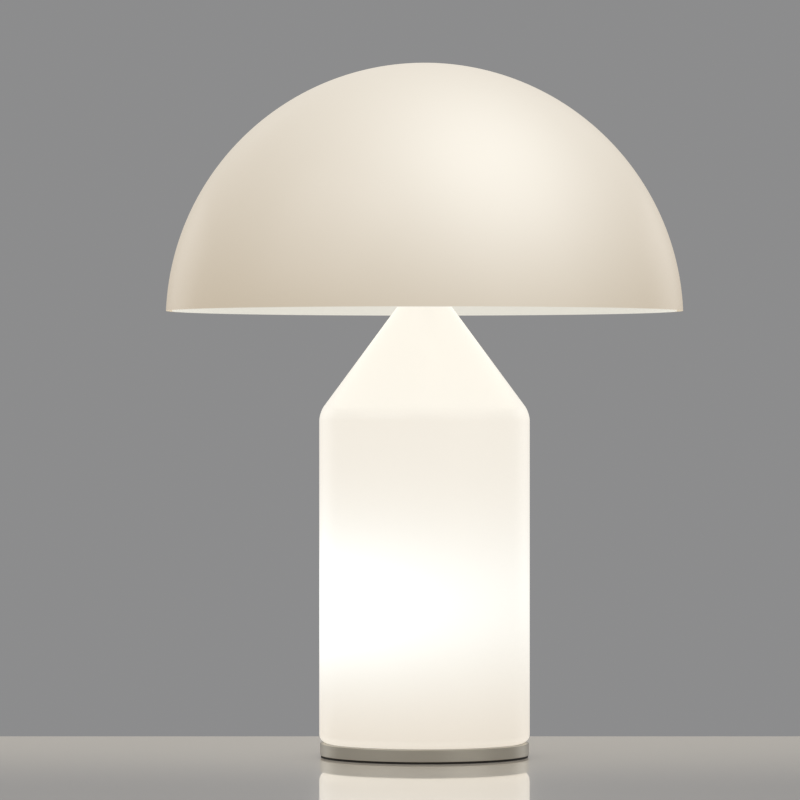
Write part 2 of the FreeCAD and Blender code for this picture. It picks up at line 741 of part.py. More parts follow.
def make_collar_nut():
    """Ring nut with finger notches round its edge."""
    body = keep(new_body("collar_nut", z="places.collar_top"))
    ring(body, "places.rod_radius + sizes.seat_clearance", "sizes.collar_nut_diameter / 2",
         "sizes.collar_nut_height")
    notch = cut(body, "Cylinder", "sizes.collar_nut_diameter / 2", "0", "0",
                Radius="sizes.collar_nut_notch_radius", Height="sizes.collar_nut_height")
    repeated(body, [notch], "sizes.collar_nut_notches")


# ---------------------------------------------------------------- hub of the upper bulbs


def lamp_frame(letter, x, y, z, turn, tilt):
    """Names the foot of a socket and the seat of its bulb, along the socket's own axis."""
    turn = place(f"lamp_{letter}_turn", turn)
    tilt = place(f"lamp_{letter}_tilt", tilt)
    foot = [place(f"lamp_{letter}_{axis}", formula)
            for axis, formula in zip("xyz", (x, y, z))]
    ways = (f"sin({tilt}) * cos({turn})", f"sin({tilt}) * sin({turn})", f"cos({tilt})")
    seat = [place(f"bulb_{letter}_{axis}", f"{start} + places.bulb_seat * {way}")
            for axis, start, way in zip("xyz", foot, ways)]
    return {"socket": (*foot, turn, tilt), "bulb": (*seat, turn, tilt)}


def upper_frame(letter, turn):
    """The foot of an upper socket stands out from the axis on its own side."""
    return lamp_frame(
        letter, f"sizes.lamp_foot_offset * cos({turn})", f"sizes.lamp_foot_offset * sin({turn})",
        "places.lamp_foot", turn, "sizes.lamp_tilt")


lamps = {
    "a": upper_frame("a", "sizes.lamp_turn - 90"),
    "b": upper_frame("b", "sizes.lamp_turn + 90"),
    "c": lamp_frame("c", "places.post_x", "places.post_y", "places.post_top", "0", "0"),
}


def make_cluster_hub():
    """Cup on the rod's end, with a sloping bore to each side for the nipples."""
    body = keep(new_body("cluster_hub", z="places.hub_foot"))
    rod = "places.rod_radius + sizes.seat_clearance"
    outer = "sizes.hub_diameter / 2"
    turned(body, [
        (rod, "0"), (outer, "0"), (outer, "sizes.hub_height"),
        ("places.chamber_radius", "sizes.hub_height"),
        ("places.chamber_radius", "sizes.hub_floor"), (rod, "sizes.hub_floor")])
    rounded(body, "sizes.hub_edge", (outer, "0"))
    start = "sizes.hub_bore_start"
    height = place("bore_height",
                   "sizes.lamp_foot_rise"
                   " - (sizes.lamp_foot_offset - sizes.hub_bore_start) / tan(sizes.lamp_tilt)")
    for letter in "ab":
        turn = f"places.lamp_{letter}_turn"
        cut(body, "Cylinder", f"{start} * cos({turn})", f"{start} * sin({turn})", height,
            turn=turn, tilt="sizes.lamp_tilt", Radius=rod, Height=outer)


def make_lamp_nipples():
    """Short hollow threaded tubes that carry the upper sockets."""
    body = keep(new_body("lamp_nipples"))
    length = place("nipple_length",
                   "(sizes.lamp_foot_offset - places.chamber_radius) / sin(sizes.lamp_tilt)"
                   " + sizes.nipple_grip")
    height = place("nipple_height",
                   "places.lamp_foot"
                   " - (sizes.lamp_foot_offset - places.chamber_radius) / tan(sizes.lamp_tilt)")
    for letter in "ab":
        turn = f"places.lamp_{letter}_turn"
        foot = (f"places.chamber_radius * cos({turn})", f"places.chamber_radius * sin({turn})",
                height, turn, "sizes.lamp_tilt")
        added(body, "Cylinder", *foot, Radius="places.rod_radius", Height=length)
        cut(body, "Cylinder", *foot, Radius="sizes.rod_bore / 2", Height=length)


def make_hub_lid():
    body = keep(new_body("hub_lid", z="places.hub_top"))
    bore = "sizes.riser_diameter / 2 + sizes.seat_clearance"
    spigot = "places.chamber_radius - sizes.seat_clearance"
    edge = "sizes.hub_lid_diameter / 2"
    turned(body, [
        (bore, "-1 * sizes.hub_lid_spigot"), (spigot, "-1 * sizes.hub_lid_spigot"), (spigot, "0"),
        (edge, "0"), (edge, "sizes.hub_lid_thickness"), (bore, "sizes.hub_lid_thickness")])
    rounded(body, "sizes.hub_edge", (edge, "sizes.hub_lid_thickness"))


# ---------------------------------------------------------------- shade and its carrier

place("shade_rim", "places.neck_height - sizes.shade_overlap")
place("shade_centre", "places.shade_rim - sizes.shade_centre_drop")
place("shade_inner", "sizes.shade_diameter / 2 - sizes.shade_wall")
place("spider_foot", "places.shade_rim + sizes.spider_rise")
place("spider_radius", "sizes.spider_diameter / 2")
place("arm_reach", "places.shade_inner - sizes.moving_clearance - sizes.tip_nose")
place("arm_end_out", "places.arm_reach * cos(sizes.arm_latitude)")
place("arm_end_height", "places.shade_centre + places.arm_reach * sin(sizes.arm_latitude)")
place("arm_root_out", "places.spider_radius - sizes.arm_grip")
place("arm_root_height",
      "sizes.spider_thickness / 2 - sizes.arm_grip / 2 * tan(sizes.arm_rise)")


arms = range(int(number("sizes.arm_count")))


def arm_turn(index):
    """The arms stand evenly round the axis."""
    return f"sizes.arm_turn - 90 + {index} * 360 / sizes.arm_count"


def make_riser():
    """Rod from the hub's lid to the spider."""
    body = keep(new_body("riser", z="places.hub_top - sizes.hub_lid_spigot"))
    length = ("places.spider_foot + sizes.spider_thickness + sizes.cap_nut_bore_depth"
              " - sizes.moving_clearance - places.hub_top + sizes.hub_lid_spigot")
    padded(body, length, circles=[("0", "0", "sizes.riser_diameter / 2")])


def make_spider():
    """Boss with a sloping bore for each arm."""
    body = keep(new_body("spider", z="places.spider_foot"))
    ring(body, "sizes.riser_diameter / 2 + sizes.seat_clearance", "places.spider_radius",
         "sizes.spider_thickness")
    rounded(body, "sizes.spider_edge", ("places.spider_radius", "0"),
            ("places.spider_radius", "sizes.spider_thickness"))
    for index in arms:
        turn = arm_turn(index)
        cut(body, "Cylinder", f"places.arm_root_out * cos({turn})",
            f"places.arm_root_out * sin({turn})", "places.arm_root_height", turn=turn,
            tilt="90 - sizes.arm_rise", Radius="sizes.arm_diameter / 2 + sizes.seat_clearance",
            Height="places.spider_radius")


def make_cap_nut():
    body = keep(new_body("cap_nut", z="places.spider_foot + sizes.spider_thickness"))
    bore = "sizes.riser_diameter / 2 + sizes.seat_clearance"
    edge = "sizes.cap_nut_diameter / 2"
    turned(body, [
        (bore, "0"), (edge, "0"), (edge, "sizes.cap_nut_height"), ("0", "sizes.cap_nut_height"),
        ("0", "sizes.cap_nut_bore_depth"), (bore, "sizes.cap_nut_bore_depth")])
    rounded(body, "sizes.cap_nut_crown", (edge, "sizes.cap_nut_height"))


# An arm leaves the spider at a low slope, bends once and ends on a line through the sphere's
# centre, so that its tip meets the glass square. Points are (out, up) in the arm's own plane,
# heights from the spider's foot.
arm_centre = place("arm_centre", "places.shade_centre - places.spider_foot")
corner_out = place(
    "arm_corner_out",
    "(places.arm_centre - places.arm_root_height + places.arm_root_out * tan(sizes.arm_rise))"
    " / (tan(sizes.arm_rise) - tan(sizes.arm_latitude))")
corner_up = place(
    "arm_corner_up", "places.arm_centre + places.arm_corner_out * tan(sizes.arm_latitude)")
tangent = place(
    "arm_tangent", "sizes.arm_bend_radius * tan((sizes.arm_latitude - sizes.arm_rise) / 2)")


def make_arm(index):
    body = keep(new_body(f"arm_{index + 1}", z="places.spider_foot", turn=arm_turn(index)))
    corners = [
        ("places.arm_root_out", "places.arm_root_height"),
        (f"{corner_out} - {tangent} * cos(sizes.arm_rise)",
         f"{corner_up} - {tangent} * sin(sizes.arm_rise)"),
        (f"{corner_out} + {tangent} * cos(sizes.arm_latitude)",
         f"{corner_up} + {tangent} * sin(sizes.arm_latitude)"),
        ("places.arm_end_out", "places.arm_end_height - places.spider_foot")]
    root, bend_start, bend_end, end = (Vector(number(x), number(y), 0) for x, y in corners)
    bend_radius = number("sizes.arm_bend_radius")
    rise = math.radians(number("sizes.arm_rise"))
    latitude = math.radians(number("sizes.arm_latitude"))
    middle = bend_start + Vector(-math.sin(rise), math.cos(rise), 0) * bend_radius
    path = new_sketch(body, "XZ_Plane")
    path.addGeometry([
        Part.LineSegment(root, bend_start),
        Part.ArcOfCircle(Part.Circle(middle, Vector(0, 0, 1), bend_radius),
                         rise - math.pi / 2, latitude - math.pi / 2),
        Part.LineSegment(bend_end, end)], False)
    path.addConstraint([Sketcher.Constraint("Coincident", 0, 2, 1, 1),
                        Sketcher.Constraint("Coincident", 1, 2, 2, 1)])
    for (x, y), target in zip(corners, ((0, 1), (0, 2), (2, 1), (2, 2))):
        bind(path, "DistanceX", -1, 1, *target, formula=x)
        bind(path, "DistanceY", -1, 1, *target, formula=y)
    bind(path, "Radius", 1, formula="sizes.arm_bend_radius")
    section = body.newObject("Sketcher::SketchObject", f"{body.Name}_section")
    section.AttachmentSupport = [(path, "Edge1")]
    section.MapMode = "NormalToEdge"
    add_circle(section, "0", "0", "sizes.arm_diameter / 2")
    pipe = body.newObject("PartDesign::AdditivePipe", f"{body.Name}_pipe")
    pipe.Profile = section
    pipe.Spine = (path, ["Edge1", "Edge2", "Edge3"])
    done(pipe)


def make_tip(index):
    """Silicone cap on an arm's end."""
    turn = arm_turn(index)
    body = keep(new_body(
        f"arm_tip_{index + 1}", f"places.arm_end_out * cos({turn})",
        f"places.arm_end_out * sin({turn})", "places.arm_end_height",
        turn, "90 - sizes.arm_latitude"))
    bore = "sizes.arm_diameter / 2 + sizes.seat_clearance"
    outer = "sizes.tip_diameter / 2"
    tail = "sizes.tip_nose - sizes.tip_length"
    turned(body, [(bore, tail), (outer, tail), (outer, "sizes.tip_nose"), ("0", "sizes.tip_nose"),
                  ("0", "0"), (bore, "0")])
    rounded(body, "sizes.tip_rounding", (outer, "sizes.tip_nose"))


def make_shade_dome():
    """The dome is turned from two arcs about one centre, and its rim is rounded."""
    body = keep(new_body("shade_dome", z="places.shade_rim"))
    centre = "-1 * sizes.shade_centre_drop"
    outer = "sizes.shade_diameter / 2"
    turned(body, [(None, "0"), ("0", centre, outer), ("0", None),
                  ("0", None), ("0", centre, "places.shade_inner"), (None, "0")])
    rim = [(f"sqrt({radius} * {radius} - sizes.shade_centre_drop * sizes.shade_centre_drop)", "0")
           for radius in ("(sizes.shade_diameter / 2)", "places.shade_inner")]
    rounded(body, "sizes.shade_rim_rounding", *rim)


# ---------------------------------------------------------------- screw sockets


def make_socket(letter, frame):
    """Cap, barrel, insulating core, thread shell and centre contact of one socket."""
    outer = "sizes.socket_diameter / 2"
    cap_bore = "sizes.socket_diameter / 2 - sizes.socket_cap_wall"
    cap_top = "sizes.socket_cap_height"
    rod = "places.rod_radius + sizes.seat_clearance"
    cap = keep(new_body(f"socket_cap_{letter}", *frame))
    turned(cap, [(rod, "0"), (outer, "0"), (outer, cap_top), (cap_bore, cap_top),
                 (cap_bore, "sizes.socket_cap_floor"), (rod, "sizes.socket_cap_floor")])
    rounded(cap, "sizes.socket_cap_rounding", (outer, "0"))

    barrel = f"{outer} - sizes.shell_setback"
    bore = f"{barrel} - sizes.shell_wall"
    spigot = f"{cap_bore} - sizes.seat_clearance"
    thread_bore = "places.thread_bore"
    thread_wall = f"{thread_bore} + sizes.thread_wall"
    thread_flange = f"{thread_wall} + sizes.thread_flange_width"
    ledge = f"{thread_flange} + sizes.moving_clearance"
    lip = f"{barrel} + sizes.shell_lip_proud"
    flange_top = f"{cap_top} + sizes.shell_flange_height"
    lip_foot = "sizes.socket_length - sizes.shell_lip_height"
    ledge_top = "places.core_top + sizes.shell_ledge_height"
    shell = keep(new_body(f"socket_shell_{letter}", *frame))
    turned(shell, [
        (ledge, "places.core_top"), (bore, "places.core_top"), (bore, "sizes.core_foot"),
        (spigot, "sizes.core_foot"), (spigot, cap_top), (outer, cap_top), (outer, flange_top),
        (barrel, flange_top), (barrel, lip_foot), (lip, lip_foot), (lip, "sizes.socket_length"),
        (bore, "sizes.socket_length"), (bore, ledge_top), (ledge, ledge_top)])
    rounded(shell, "sizes.shell_lip_rounding", (lip, "sizes.socket_length"))

    core = keep(new_body(f"socket_core_{letter}", *frame))
    stem_hole = "sizes.contact_stem_radius + sizes.seat_clearance"
    holes = [("0", "0", stem_hole)]
    holes += [(f"{side} * sizes.core_lead_hole_offset", "0", "sizes.core_lead_hole_radius")
              for side in (-1, 1)]
    padded(core, "sizes.core_height", foot="sizes.core_foot",
           circles=[("0", "0", f"{bore} - sizes.seat_clearance"), *holes])

    thread = keep(new_body(f"thread_shell_{letter}", *frame))
    hole = "sizes.thread_floor_hole / 2"
    floor_top = "places.core_top + sizes.thread_wall"
    mouth = "places.core_top + sizes.thread_length"
    turned(thread, [
        (hole, "places.core_top"), (thread_flange, "places.core_top"), (thread_flange, floor_top),
        (thread_wall, floor_top), (thread_wall, mouth), (thread_bore, mouth),
        (thread_bore, floor_top), (hole, floor_top)])

    contact = keep(new_body(f"centre_contact_{letter}", *frame))
    head_foot = "places.core_top + sizes.contact_rise"
    tail = "sizes.core_foot - sizes.contact_tail"
    turned(contact, [
        ("0", tail), ("sizes.contact_stem_radius", tail),
        ("sizes.contact_stem_radius", head_foot), ("sizes.contact_head_radius", head_foot),
        ("sizes.contact_head_radius", "places.contact_top"), ("0", "places.contact_top")])


# ---------------------------------------------------------------- bulbs

# The globe's neck runs straight, then in a cone that is tangent to the globe.
place("neck_radius", "places.screw_radius + sizes.bulb_neck_step")
place("neck_to_middle", "places.globe_middle - sizes.bulb_neck_top")
place("neck_flare",
      "asin(places.bulb_radius / sqrt(places.neck_radius ^ 2 + places.neck_to_middle ^ 2)) / 1 deg"
      " - atan(places.neck_radius / places.neck_to_middle) / 1 deg")
place("globe_inner", "places.bulb_radius - sizes.bulb_wall")


def make_bulb(letter, frame):
    """Solder tip, glass insulator, screw cap and globe of one bulb."""
    solder = keep(new_body(f"solder_tip_{letter}", *frame))
    padded(solder, "sizes.solder_length", circles=[("0", "0", "sizes.solder_radius")])
    rounded(solder, "sizes.solder_rounding", ("sizes.solder_radius", "0"))

    insulator = keep(new_body(f"bulb_insulator_{letter}", *frame))
    pocket = "sizes.solder_radius + sizes.moving_clearance"
    pocket_top = "sizes.solder_length + sizes.moving_clearance"
    plug = "places.screw_radius - sizes.bulb_cap_wall - sizes.seat_clearance"
    turned(insulator, [
        (pocket, "sizes.insulator_foot"), ("sizes.insulator_foot_radius", "sizes.insulator_foot"),
        (plug, "sizes.insulator_shoulder"), (plug, "sizes.insulator_top"),
        ("0", "sizes.insulator_top"), ("0", pocket_top), (pocket, pocket_top)])

    cap = keep(new_body(f"bulb_cap_{letter}", *frame))
    screw = "places.screw_radius"
    screw_bore = f"{screw} - sizes.bulb_cap_wall"
    skirt_bore = "places.neck_radius + sizes.seat_clearance"
    skirt = f"{skirt_bore} + sizes.bulb_cap_wall"
    flare_top = "sizes.bulb_skirt_foot + sizes.bulb_skirt_height"
    skirt_top = f"{flare_top} + sizes.bulb_skirt_height"
    turned(cap, [
        (screw_bore, "sizes.bulb_cap_foot"), (screw, "sizes.bulb_cap_foot"),
        (screw, "sizes.bulb_skirt_foot"), (skirt, flare_top), (skirt, skirt_top),
        (skirt_bore, skirt_top), (skirt_bore, flare_top), (screw_bore, "sizes.bulb_skirt_foot")])

    globe = keep(new_body(f"bulb_globe_{letter}", *frame))
    neck_bore = "places.neck_radius - sizes.bulb_wall"
    inner_neck_top = "sizes.bulb_neck_top + sizes.bulb_wall * tan(places.neck_flare / 2)"
    turned(globe, [
        (neck_bore, "sizes.bulb_neck_foot"), ("places.neck_radius", "sizes.bulb_neck_foot"),
        ("places.neck_radius", "sizes.bulb_neck_top"),
        (None, "places.globe_middle - places.bulb_radius * sin(places.neck_flare)"),
        ("0", "places.globe_middle", "places.bulb_radius"), ("0", None), ("0", None),
        ("0", "places.globe_middle", "places.globe_inner"),
        (None, "places.globe_middle - places.globe_inner * sin(places.neck_flare)"),
        (neck_bore, inner_neck_top)])
    rounded(globe, "sizes.bulb_neck_rounding", ("places.neck_radius", "sizes.bulb_neck_top"))
    rounded(globe, "sizes.bulb_neck_rounding + sizes.bulb_wall", (neck_bore, inner_neck_top))


# ---------------------------------------------------------------- build

make_foot_pad()
make_base_disc()
make_base_cover()
make_cover_screws()
make_body_gasket()
make_cord_bush()
make_cord_clamp()
make_clamp_screws()
make_terminal_block()
make_terminal_screws()
make_tie_rod()
make_lamp_post()
make_rod_nuts()
make_rod_washers()
make_stem_tube()
make_body_glass()
make_neck_washer()
make_neck_collar()
make_collar_nut()
make_cluster_hub()
make_lamp_nipples()
make_hub_lid()
make_riser()
make_spider()
make_cap_nut()
for arm in arms:
    make_arm(arm)
    make_tip(arm)
make_shade_dome()
for letter, frames in lamps.items():
    make_socket(letter, frames["socket"])
    make_bulb(letter, frames["bulb"])

# ---------------------------------------------------------------- check and write

doc.recompute()
for item in doc.Objects:
    if "Invalid" in item.State or "Error" in item.State:
        raise RuntimeError(f"{item.Name}: {item.State}")
for item in sub_parts:
    if item.Shape.isNull() or not item.Shape.isValid():
        raise RuntimeError(f"{item.Label} has no valid shape")
for item in sub_parts:
    item.Shape.exportStep(f"parts/{item.Label}.step")
    box = item.Shape.BoundBox
    print(f"{item.Label}: {len(item.Shape.Solids)} solid(s), {item.Shape.Volume:.0f} mm3, "
          f"x {box.XMin:.1f} {box.XMax:.1f}, y {box.YMin:.1f} {box.YMax:.1f}, "
          f"z {box.ZMin:.1f} {box.ZMax:.1f}")
print(len(sub_parts), "sub-parts written")
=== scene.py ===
# %% [markdown]
# # A mushroom table lamp of opal glass
#
# This lamp has two large blown-glass pieces: a dome that rests loose on three padded arms, and
# a body that is a cylinder closed by a cone. Two bulbs stand in a V under the dome and one
# stands inside the body, so both glasses glow from within. The construction comes packed from
# the CAD side. This lesson gives every surface its finish, and models again the pieces whose
# form needs more than the plain solids hold: both glasses, the bulbs' screw caps, and the
# screws under the base.

import json
import math

import bmesh
import bpy
from mathutils import Matrix, Vector


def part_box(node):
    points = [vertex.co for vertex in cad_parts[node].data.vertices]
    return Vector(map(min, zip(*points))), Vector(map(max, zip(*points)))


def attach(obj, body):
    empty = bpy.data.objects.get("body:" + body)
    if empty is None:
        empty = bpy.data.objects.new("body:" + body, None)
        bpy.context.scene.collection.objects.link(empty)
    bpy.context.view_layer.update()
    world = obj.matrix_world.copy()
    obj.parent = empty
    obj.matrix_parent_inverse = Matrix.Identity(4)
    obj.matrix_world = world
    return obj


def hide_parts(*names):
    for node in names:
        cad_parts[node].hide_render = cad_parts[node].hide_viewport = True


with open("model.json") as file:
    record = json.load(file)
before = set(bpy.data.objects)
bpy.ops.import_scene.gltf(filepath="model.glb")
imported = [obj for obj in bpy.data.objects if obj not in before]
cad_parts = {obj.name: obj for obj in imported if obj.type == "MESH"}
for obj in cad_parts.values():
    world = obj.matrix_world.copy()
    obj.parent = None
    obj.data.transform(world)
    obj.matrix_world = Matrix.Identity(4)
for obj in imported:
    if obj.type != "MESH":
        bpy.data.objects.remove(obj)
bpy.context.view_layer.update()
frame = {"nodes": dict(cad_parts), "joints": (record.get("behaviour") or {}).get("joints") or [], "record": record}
MM = 0.001
slot_of = {part["node"]: part["material_slot"] for part in frame["record"]["subparts"]}

# %% [markdown]
# ## Where things are
#
# Nothing is measured by eye here. The frame tells where each CAD node lies, and the few sizes
# that a box can't tell, such as how far the dome's centre lies under its rim, are named once.

# %% Places read from the frame
SHADE_WALL = 4.5 * MM
SHADE_CENTRE_DROP = 9.5 * MM      # sphere's centre under the rim plane
GLASS_WALL = 4.5 * MM
SHOULDER_HEIGHT = 253.1 * MM      # where cylinder and cone would meet sharp

rim_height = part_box("shade_dome")[0].z
crown_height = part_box("shade_dome")[1].z
shade_centre = Vector((0, 0, rim_height - SHADE_CENTRE_DROP))
shade_radius = crown_height - shade_centre.z

glass_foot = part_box("body_glass")[0].z
neck_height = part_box("body_glass")[1].z
body_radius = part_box("body_glass")[1].x
print(f"dome radius {shade_radius:.4f}, body radius {body_radius:.4f}, neck at {neck_height:.4f}")

# %% [markdown]
# A bulb's globe is one node with a short neck, so the middle of its box is not the middle of the
# globe. The joint that the bulb screws on tells which way the bulb points, and on that side the
# globe touches its box.

# %% The bulbs stand on their joints' axes
GLOBE_RADIUS = 22.5 * MM
NO_TILT = 1e-3                    # an axis this little off upright leaves the globe centred


def bulb_axis(letter):
    """The way a bulb points, from the joint that it screws on."""
    joint = next(j for j in frame["joints"] if j["child"] == f"bulb_{letter}")
    return Vector(joint["axis"]).normalized()


def globe_middle(letter):
    """A globe touches three sides of its node's box, on the side that the bulb points to."""
    low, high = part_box(f"bulb_globe_{letter}")
    middle = (low + high) / 2
    for side, way in enumerate(bulb_axis(letter)):
        if abs(way) > NO_TILT:
            corner = high[side] if way > 0 else low[side]
            middle[side] = corner - math.copysign(GLOBE_RADIUS, way)
    return middle


globes = {letter: globe_middle(letter) for letter in "abc"}
for letter, middle in globes.items():
    print(f"globe {letter} at", [round(value, 4) for value in middle])

# %% [markdown]
# ## Camera, table and light
#
# The photograph is taken from a little below the dome's rim and from well back, with a long
# lens. So the dome's inside shows only as a thin bright line, and the base bows only a little.

# %% Camera
CAMERA_PLACE = Vector((-18 * MM, -3667 * MM, 262.3 * MM))
CAMERA_LENS = 224.5               # millimetres
SENSOR_WIDTH = 36                 # millimetres

camera = bpy.data.objects.new("camera", bpy.data.cameras.new("camera"))
bpy.context.scene.collection.objects.link(camera)
camera.location = CAMERA_PLACE
camera.rotation_euler = (math.radians(90), 0, 0)
camera.data.lens = CAMERA_LENS
camera.data.sensor_width = SENSOR_WIDTH
bpy.context.scene.camera = camera
bpy.context.scene.view_settings.view_transform = "Standard"
print("camera", tuple(camera.location))

# %% [markdown]
# Every piece starts as a primitive, and most get a modifier that is applied at once, so what is
# left is plain mesh. Operators work on what is selected, so each helper first makes its piece
# the only selected one.


# %% Adding and changing a piece
def deselect():
    bpy.ops.object.select_all(action="DESELECT")


def select_only(piece):
    deselect()
    piece.select_set(True)
    bpy.context.view_layer.objects.active = piece


def start(primitive, name, **settings):
    """Adds a primitive at its size and place, and puts the place into its mesh."""
    deselect()
    getattr(bpy.ops.mesh, f"primitive_{primitive}_add")(**settings)
    piece = bpy.context.object
    piece.name = name
    piece.data.name = name
    bpy.ops.object.transform_apply(location=True, rotation=True, scale=True)
    return piece


def modify(piece, kind, **settings):
    """Adds a modifier and applies it."""
    select_only(piece)
    modifier = piece.modifiers.new(kind.lower(), kind)
    for name, value in settings.items():
        setattr(modifier, name, value)
    bpy.ops.object.modifier_apply(modifier=modifier.name)


print("helpers: start, modify")

# %% [markdown]
# The floor is a pale polished table that ends a hand's breadth behind the lamp. A cube is
# stretched to it, and its edges are bevelled, because a sharp far edge would look cut out.

# %% Table
TABLE_BACK = 226 * MM             # far edge of the table behind the lamp
TABLE_FRONT = -1.1
TABLE_HALF_WIDTH = 1.5
TABLE_THICKNESS = 30 * MM
TABLE_ROUNDING = 2 * MM

table = start("cube", "table", size=1,
              location=(0, (TABLE_BACK + TABLE_FRONT) / 2, -TABLE_THICKNESS / 2),
              scale=(2 * TABLE_HALF_WIDTH, TABLE_BACK - TABLE_FRONT, TABLE_THICKNESS))
modify(table, "BEVEL", width=TABLE_ROUNDING, segments=4)
print("table", tuple(round(side, 3) for side in table.dimensions))

# %% [markdown]
# Materials and the world are both trees of nodes. One helper adds a node and fills its inputs,
# with a number or with a link from another node, so a tree reads like a sum.


# %% Nodes by name
def add_node(tree, kind, inputs=None, **settings):
    """Adds a node, sets it up and fills its inputs with values or links."""
    node = tree.nodes.new(f"ShaderNode{kind}")
    for name, value in settings.items():
        setattr(node, name, value)
    for key, value in (inputs or {}).items():
        if isinstance(value, bpy.types.NodeSocket):
            tree.links.new(value, node.inputs[key])
        else:
            node.inputs[key].default_value = value
    return node


def sum_up(tree, operation, *terms, clamp=False):
    """The output of one Math node."""
    node = add_node(tree, "Math", dict(enumerate(terms)), operation=operation, use_clamp=clamp)
    return node.outputs[0]


def vector_sum(tree, operation, *terms, output=0):
    """One output of a Vector Math node; a length or a dot product is its output 1."""
    node = add_node(tree, "VectorMath", dict(enumerate(terms)), operation=operation)
    return node.outputs[output]


def blend_colours(tree, factor, first, second):
    """The colour output of a Mix node."""
    node = add_node(tree, "Mix", {0: factor, 6: first, 7: second}, data_type="RGBA")
    return node.outputs[2]


print("helpers: add_node, sum_up, vector_sum, blend_colours")

# %% [markdown]
# Behind the table there is only a grey background. It comes from the world, so it is there from
# every side. What the eye sees of the world and what the world lights are two strengths, told
# apart by the kind of ray.

# %% World
BACKGROUND = (0.263, 0.263, 0.266, 1)
AMBIENT = (1, 0.985, 0.965, 1)
AMBIENT_STRENGTH = 0.42

world = bpy.data.worlds.new("studio")
world.use_nodes = True
bpy.context.scene.world = world
tree = world.node_tree
tree.nodes.clear()
path = add_node(tree, "LightPath")
seen = sum_up(tree, "MAXIMUM", path.outputs["Is Camera Ray"], path.outputs["Is Glossy Ray"])
seen = sum_up(tree, "MAXIMUM", seen, path.outputs["Is Transmission Ray"])
ambient = add_node(tree, "Background", {"Color": AMBIENT, "Strength": AMBIENT_STRENGTH})
backdrop = add_node(tree, "Background", {"Color": BACKGROUND, "Strength": 1.0})
either = add_node(tree, "MixShader", {0: seen, 1: ambient.outputs[0], 2: backdrop.outputs[0]})
add_node(tree, "OutputWorld", {"Surface": either.outputs[0]})
print("world", bpy.context.scene.world.name)

# %% [markdown]
# Two large soft lamps stand before the lamp, and four weak ones behind it. The upper two of
# those draw the dome's edge, and the lower two shine along the table onto the base's rim.

# %% Lamps
LAMP_MIDDLE = Vector((0, 0, 0.28))
LAMP_BASE = Vector((0, 0, 0.02))


def softbox(name, place, size, power, target=LAMP_MIDDLE):
    """A large square lamp that faces the object."""
    light = bpy.data.lights.new(name, "AREA")
    light.size = size
    light.energy = power
    lamp = bpy.data.objects.new(name, light)
    bpy.context.scene.collection.objects.link(lamp)
    lamp.location = place
    lamp.rotation_euler = (target - Vector(place)).to_track_quat("-Z", "Y").to_euler()


softbox("key", place=(-2.2, -1.7, 2.3), size=3.0, power=16)
softbox("fill", place=(2.2, -2.0, 1.7), size=3.0, power=10)
softbox("left_edge", place=(-1.5, 1.9, 1.1), size=1.6, power=1.1)
softbox("right_edge", place=(1.5, 1.9, 1.1), size=1.6, power=1.1)
softbox("left_low", place=(-1.6, 1.6, 0.5), size=1.1, power=1.6, target=LAMP_BASE)
softbox("right_low", place=(1.6, 1.6, 0.5), size=1.1, power=1.6, target=LAMP_BASE)
print(len(bpy.data.lights), "lamps")

# %% [markdown]
# ## Effects that several finishes share
#
# What several materials need is made once, as a node group with named sockets. A group hands
# out only colours and values, and the shader stays in each material.


# %% A new group with named sockets
def new_group(name, inputs, outputs):
    """A shader node group, with its input and output nodes."""
    group = bpy.data.node_groups.new(name, "ShaderNodeTree")
    for label, (kind, value) in inputs.items():
        socket = group.interface.new_socket(
            name=label, in_out="INPUT", socket_type=f"NodeSocket{kind}")
        socket.default_value = value
    for label, kind in outputs.items():
        group.interface.new_socket(name=label, in_out="OUTPUT", socket_type=f"NodeSocket{kind}")
    return group, group.nodes.new("NodeGroupInput"), group.nodes.new("NodeGroupOutput")


def use_group(tree, group, **values):
    """Places a group in a material with its own values."""
    node = tree.nodes.new("ShaderNodeGroup")
    node.node_tree = group
    for label, value in values.items():
        socket = node.inputs[label.replace("_", " ")]
        if isinstance(value, bpy.types.NodeSocket):
            tree.links.new(value, socket)
        else:
            socket.default_value = value
    return node


print("helpers: new_group, use_group")

# %% [markdown]
# ### Light of one bulb
#
# A lit opal glass is brightest where a bulb stands close behind it, and fades as the square of
# the distance. That is worked out from the bulb's place and the surface's own coordinates, so
# it stays on the glass from every side.

# %% Light of one bulb on a surface
REACH = 100 * MM                  # a surface that faces a bulb from here gets a light of 1

bulb_light, given, result = new_group(
    "bulb_light", {"Bulb": ("Vector", (0, 0, 0)), "Gain": ("Float", 1)}, {"Light": "Float"})
surface = add_node(bulb_light, "TexCoord")
ray = vector_sum(bulb_light, "SUBTRACT", surface.outputs["Object"], given.outputs["Bulb"])
distance = vector_sum(bulb_light, "LENGTH", ray, output=1)
facing = vector_sum(bulb_light, "DOT_PRODUCT", ray, surface.outputs["Normal"], output=1)
facing = sum_up(bulb_light, "ABSOLUTE", facing)
# The dot product still holds the distance once, so it is divided by the third power.
spread = sum_up(bulb_light, "DIVIDE", sum_up(bulb_light, "MULTIPLY", facing, REACH * REACH),
                sum_up(bulb_light, "POWER", distance, 3))
light = sum_up(bulb_light, "MULTIPLY", spread, given.outputs["Gain"])
bulb_light.links.new(light, result.inputs["Light"])
print(bulb_light.name, "ready")

# %% [markdown]
# ### The glow's colour
#
# Light that is scattered for longer comes out warmer, so a dim place has one colour and a
# bright one another. Faces that look up also catch what the dome throws down, and glass is a
# little brighter higher up, where more of the light gathers.

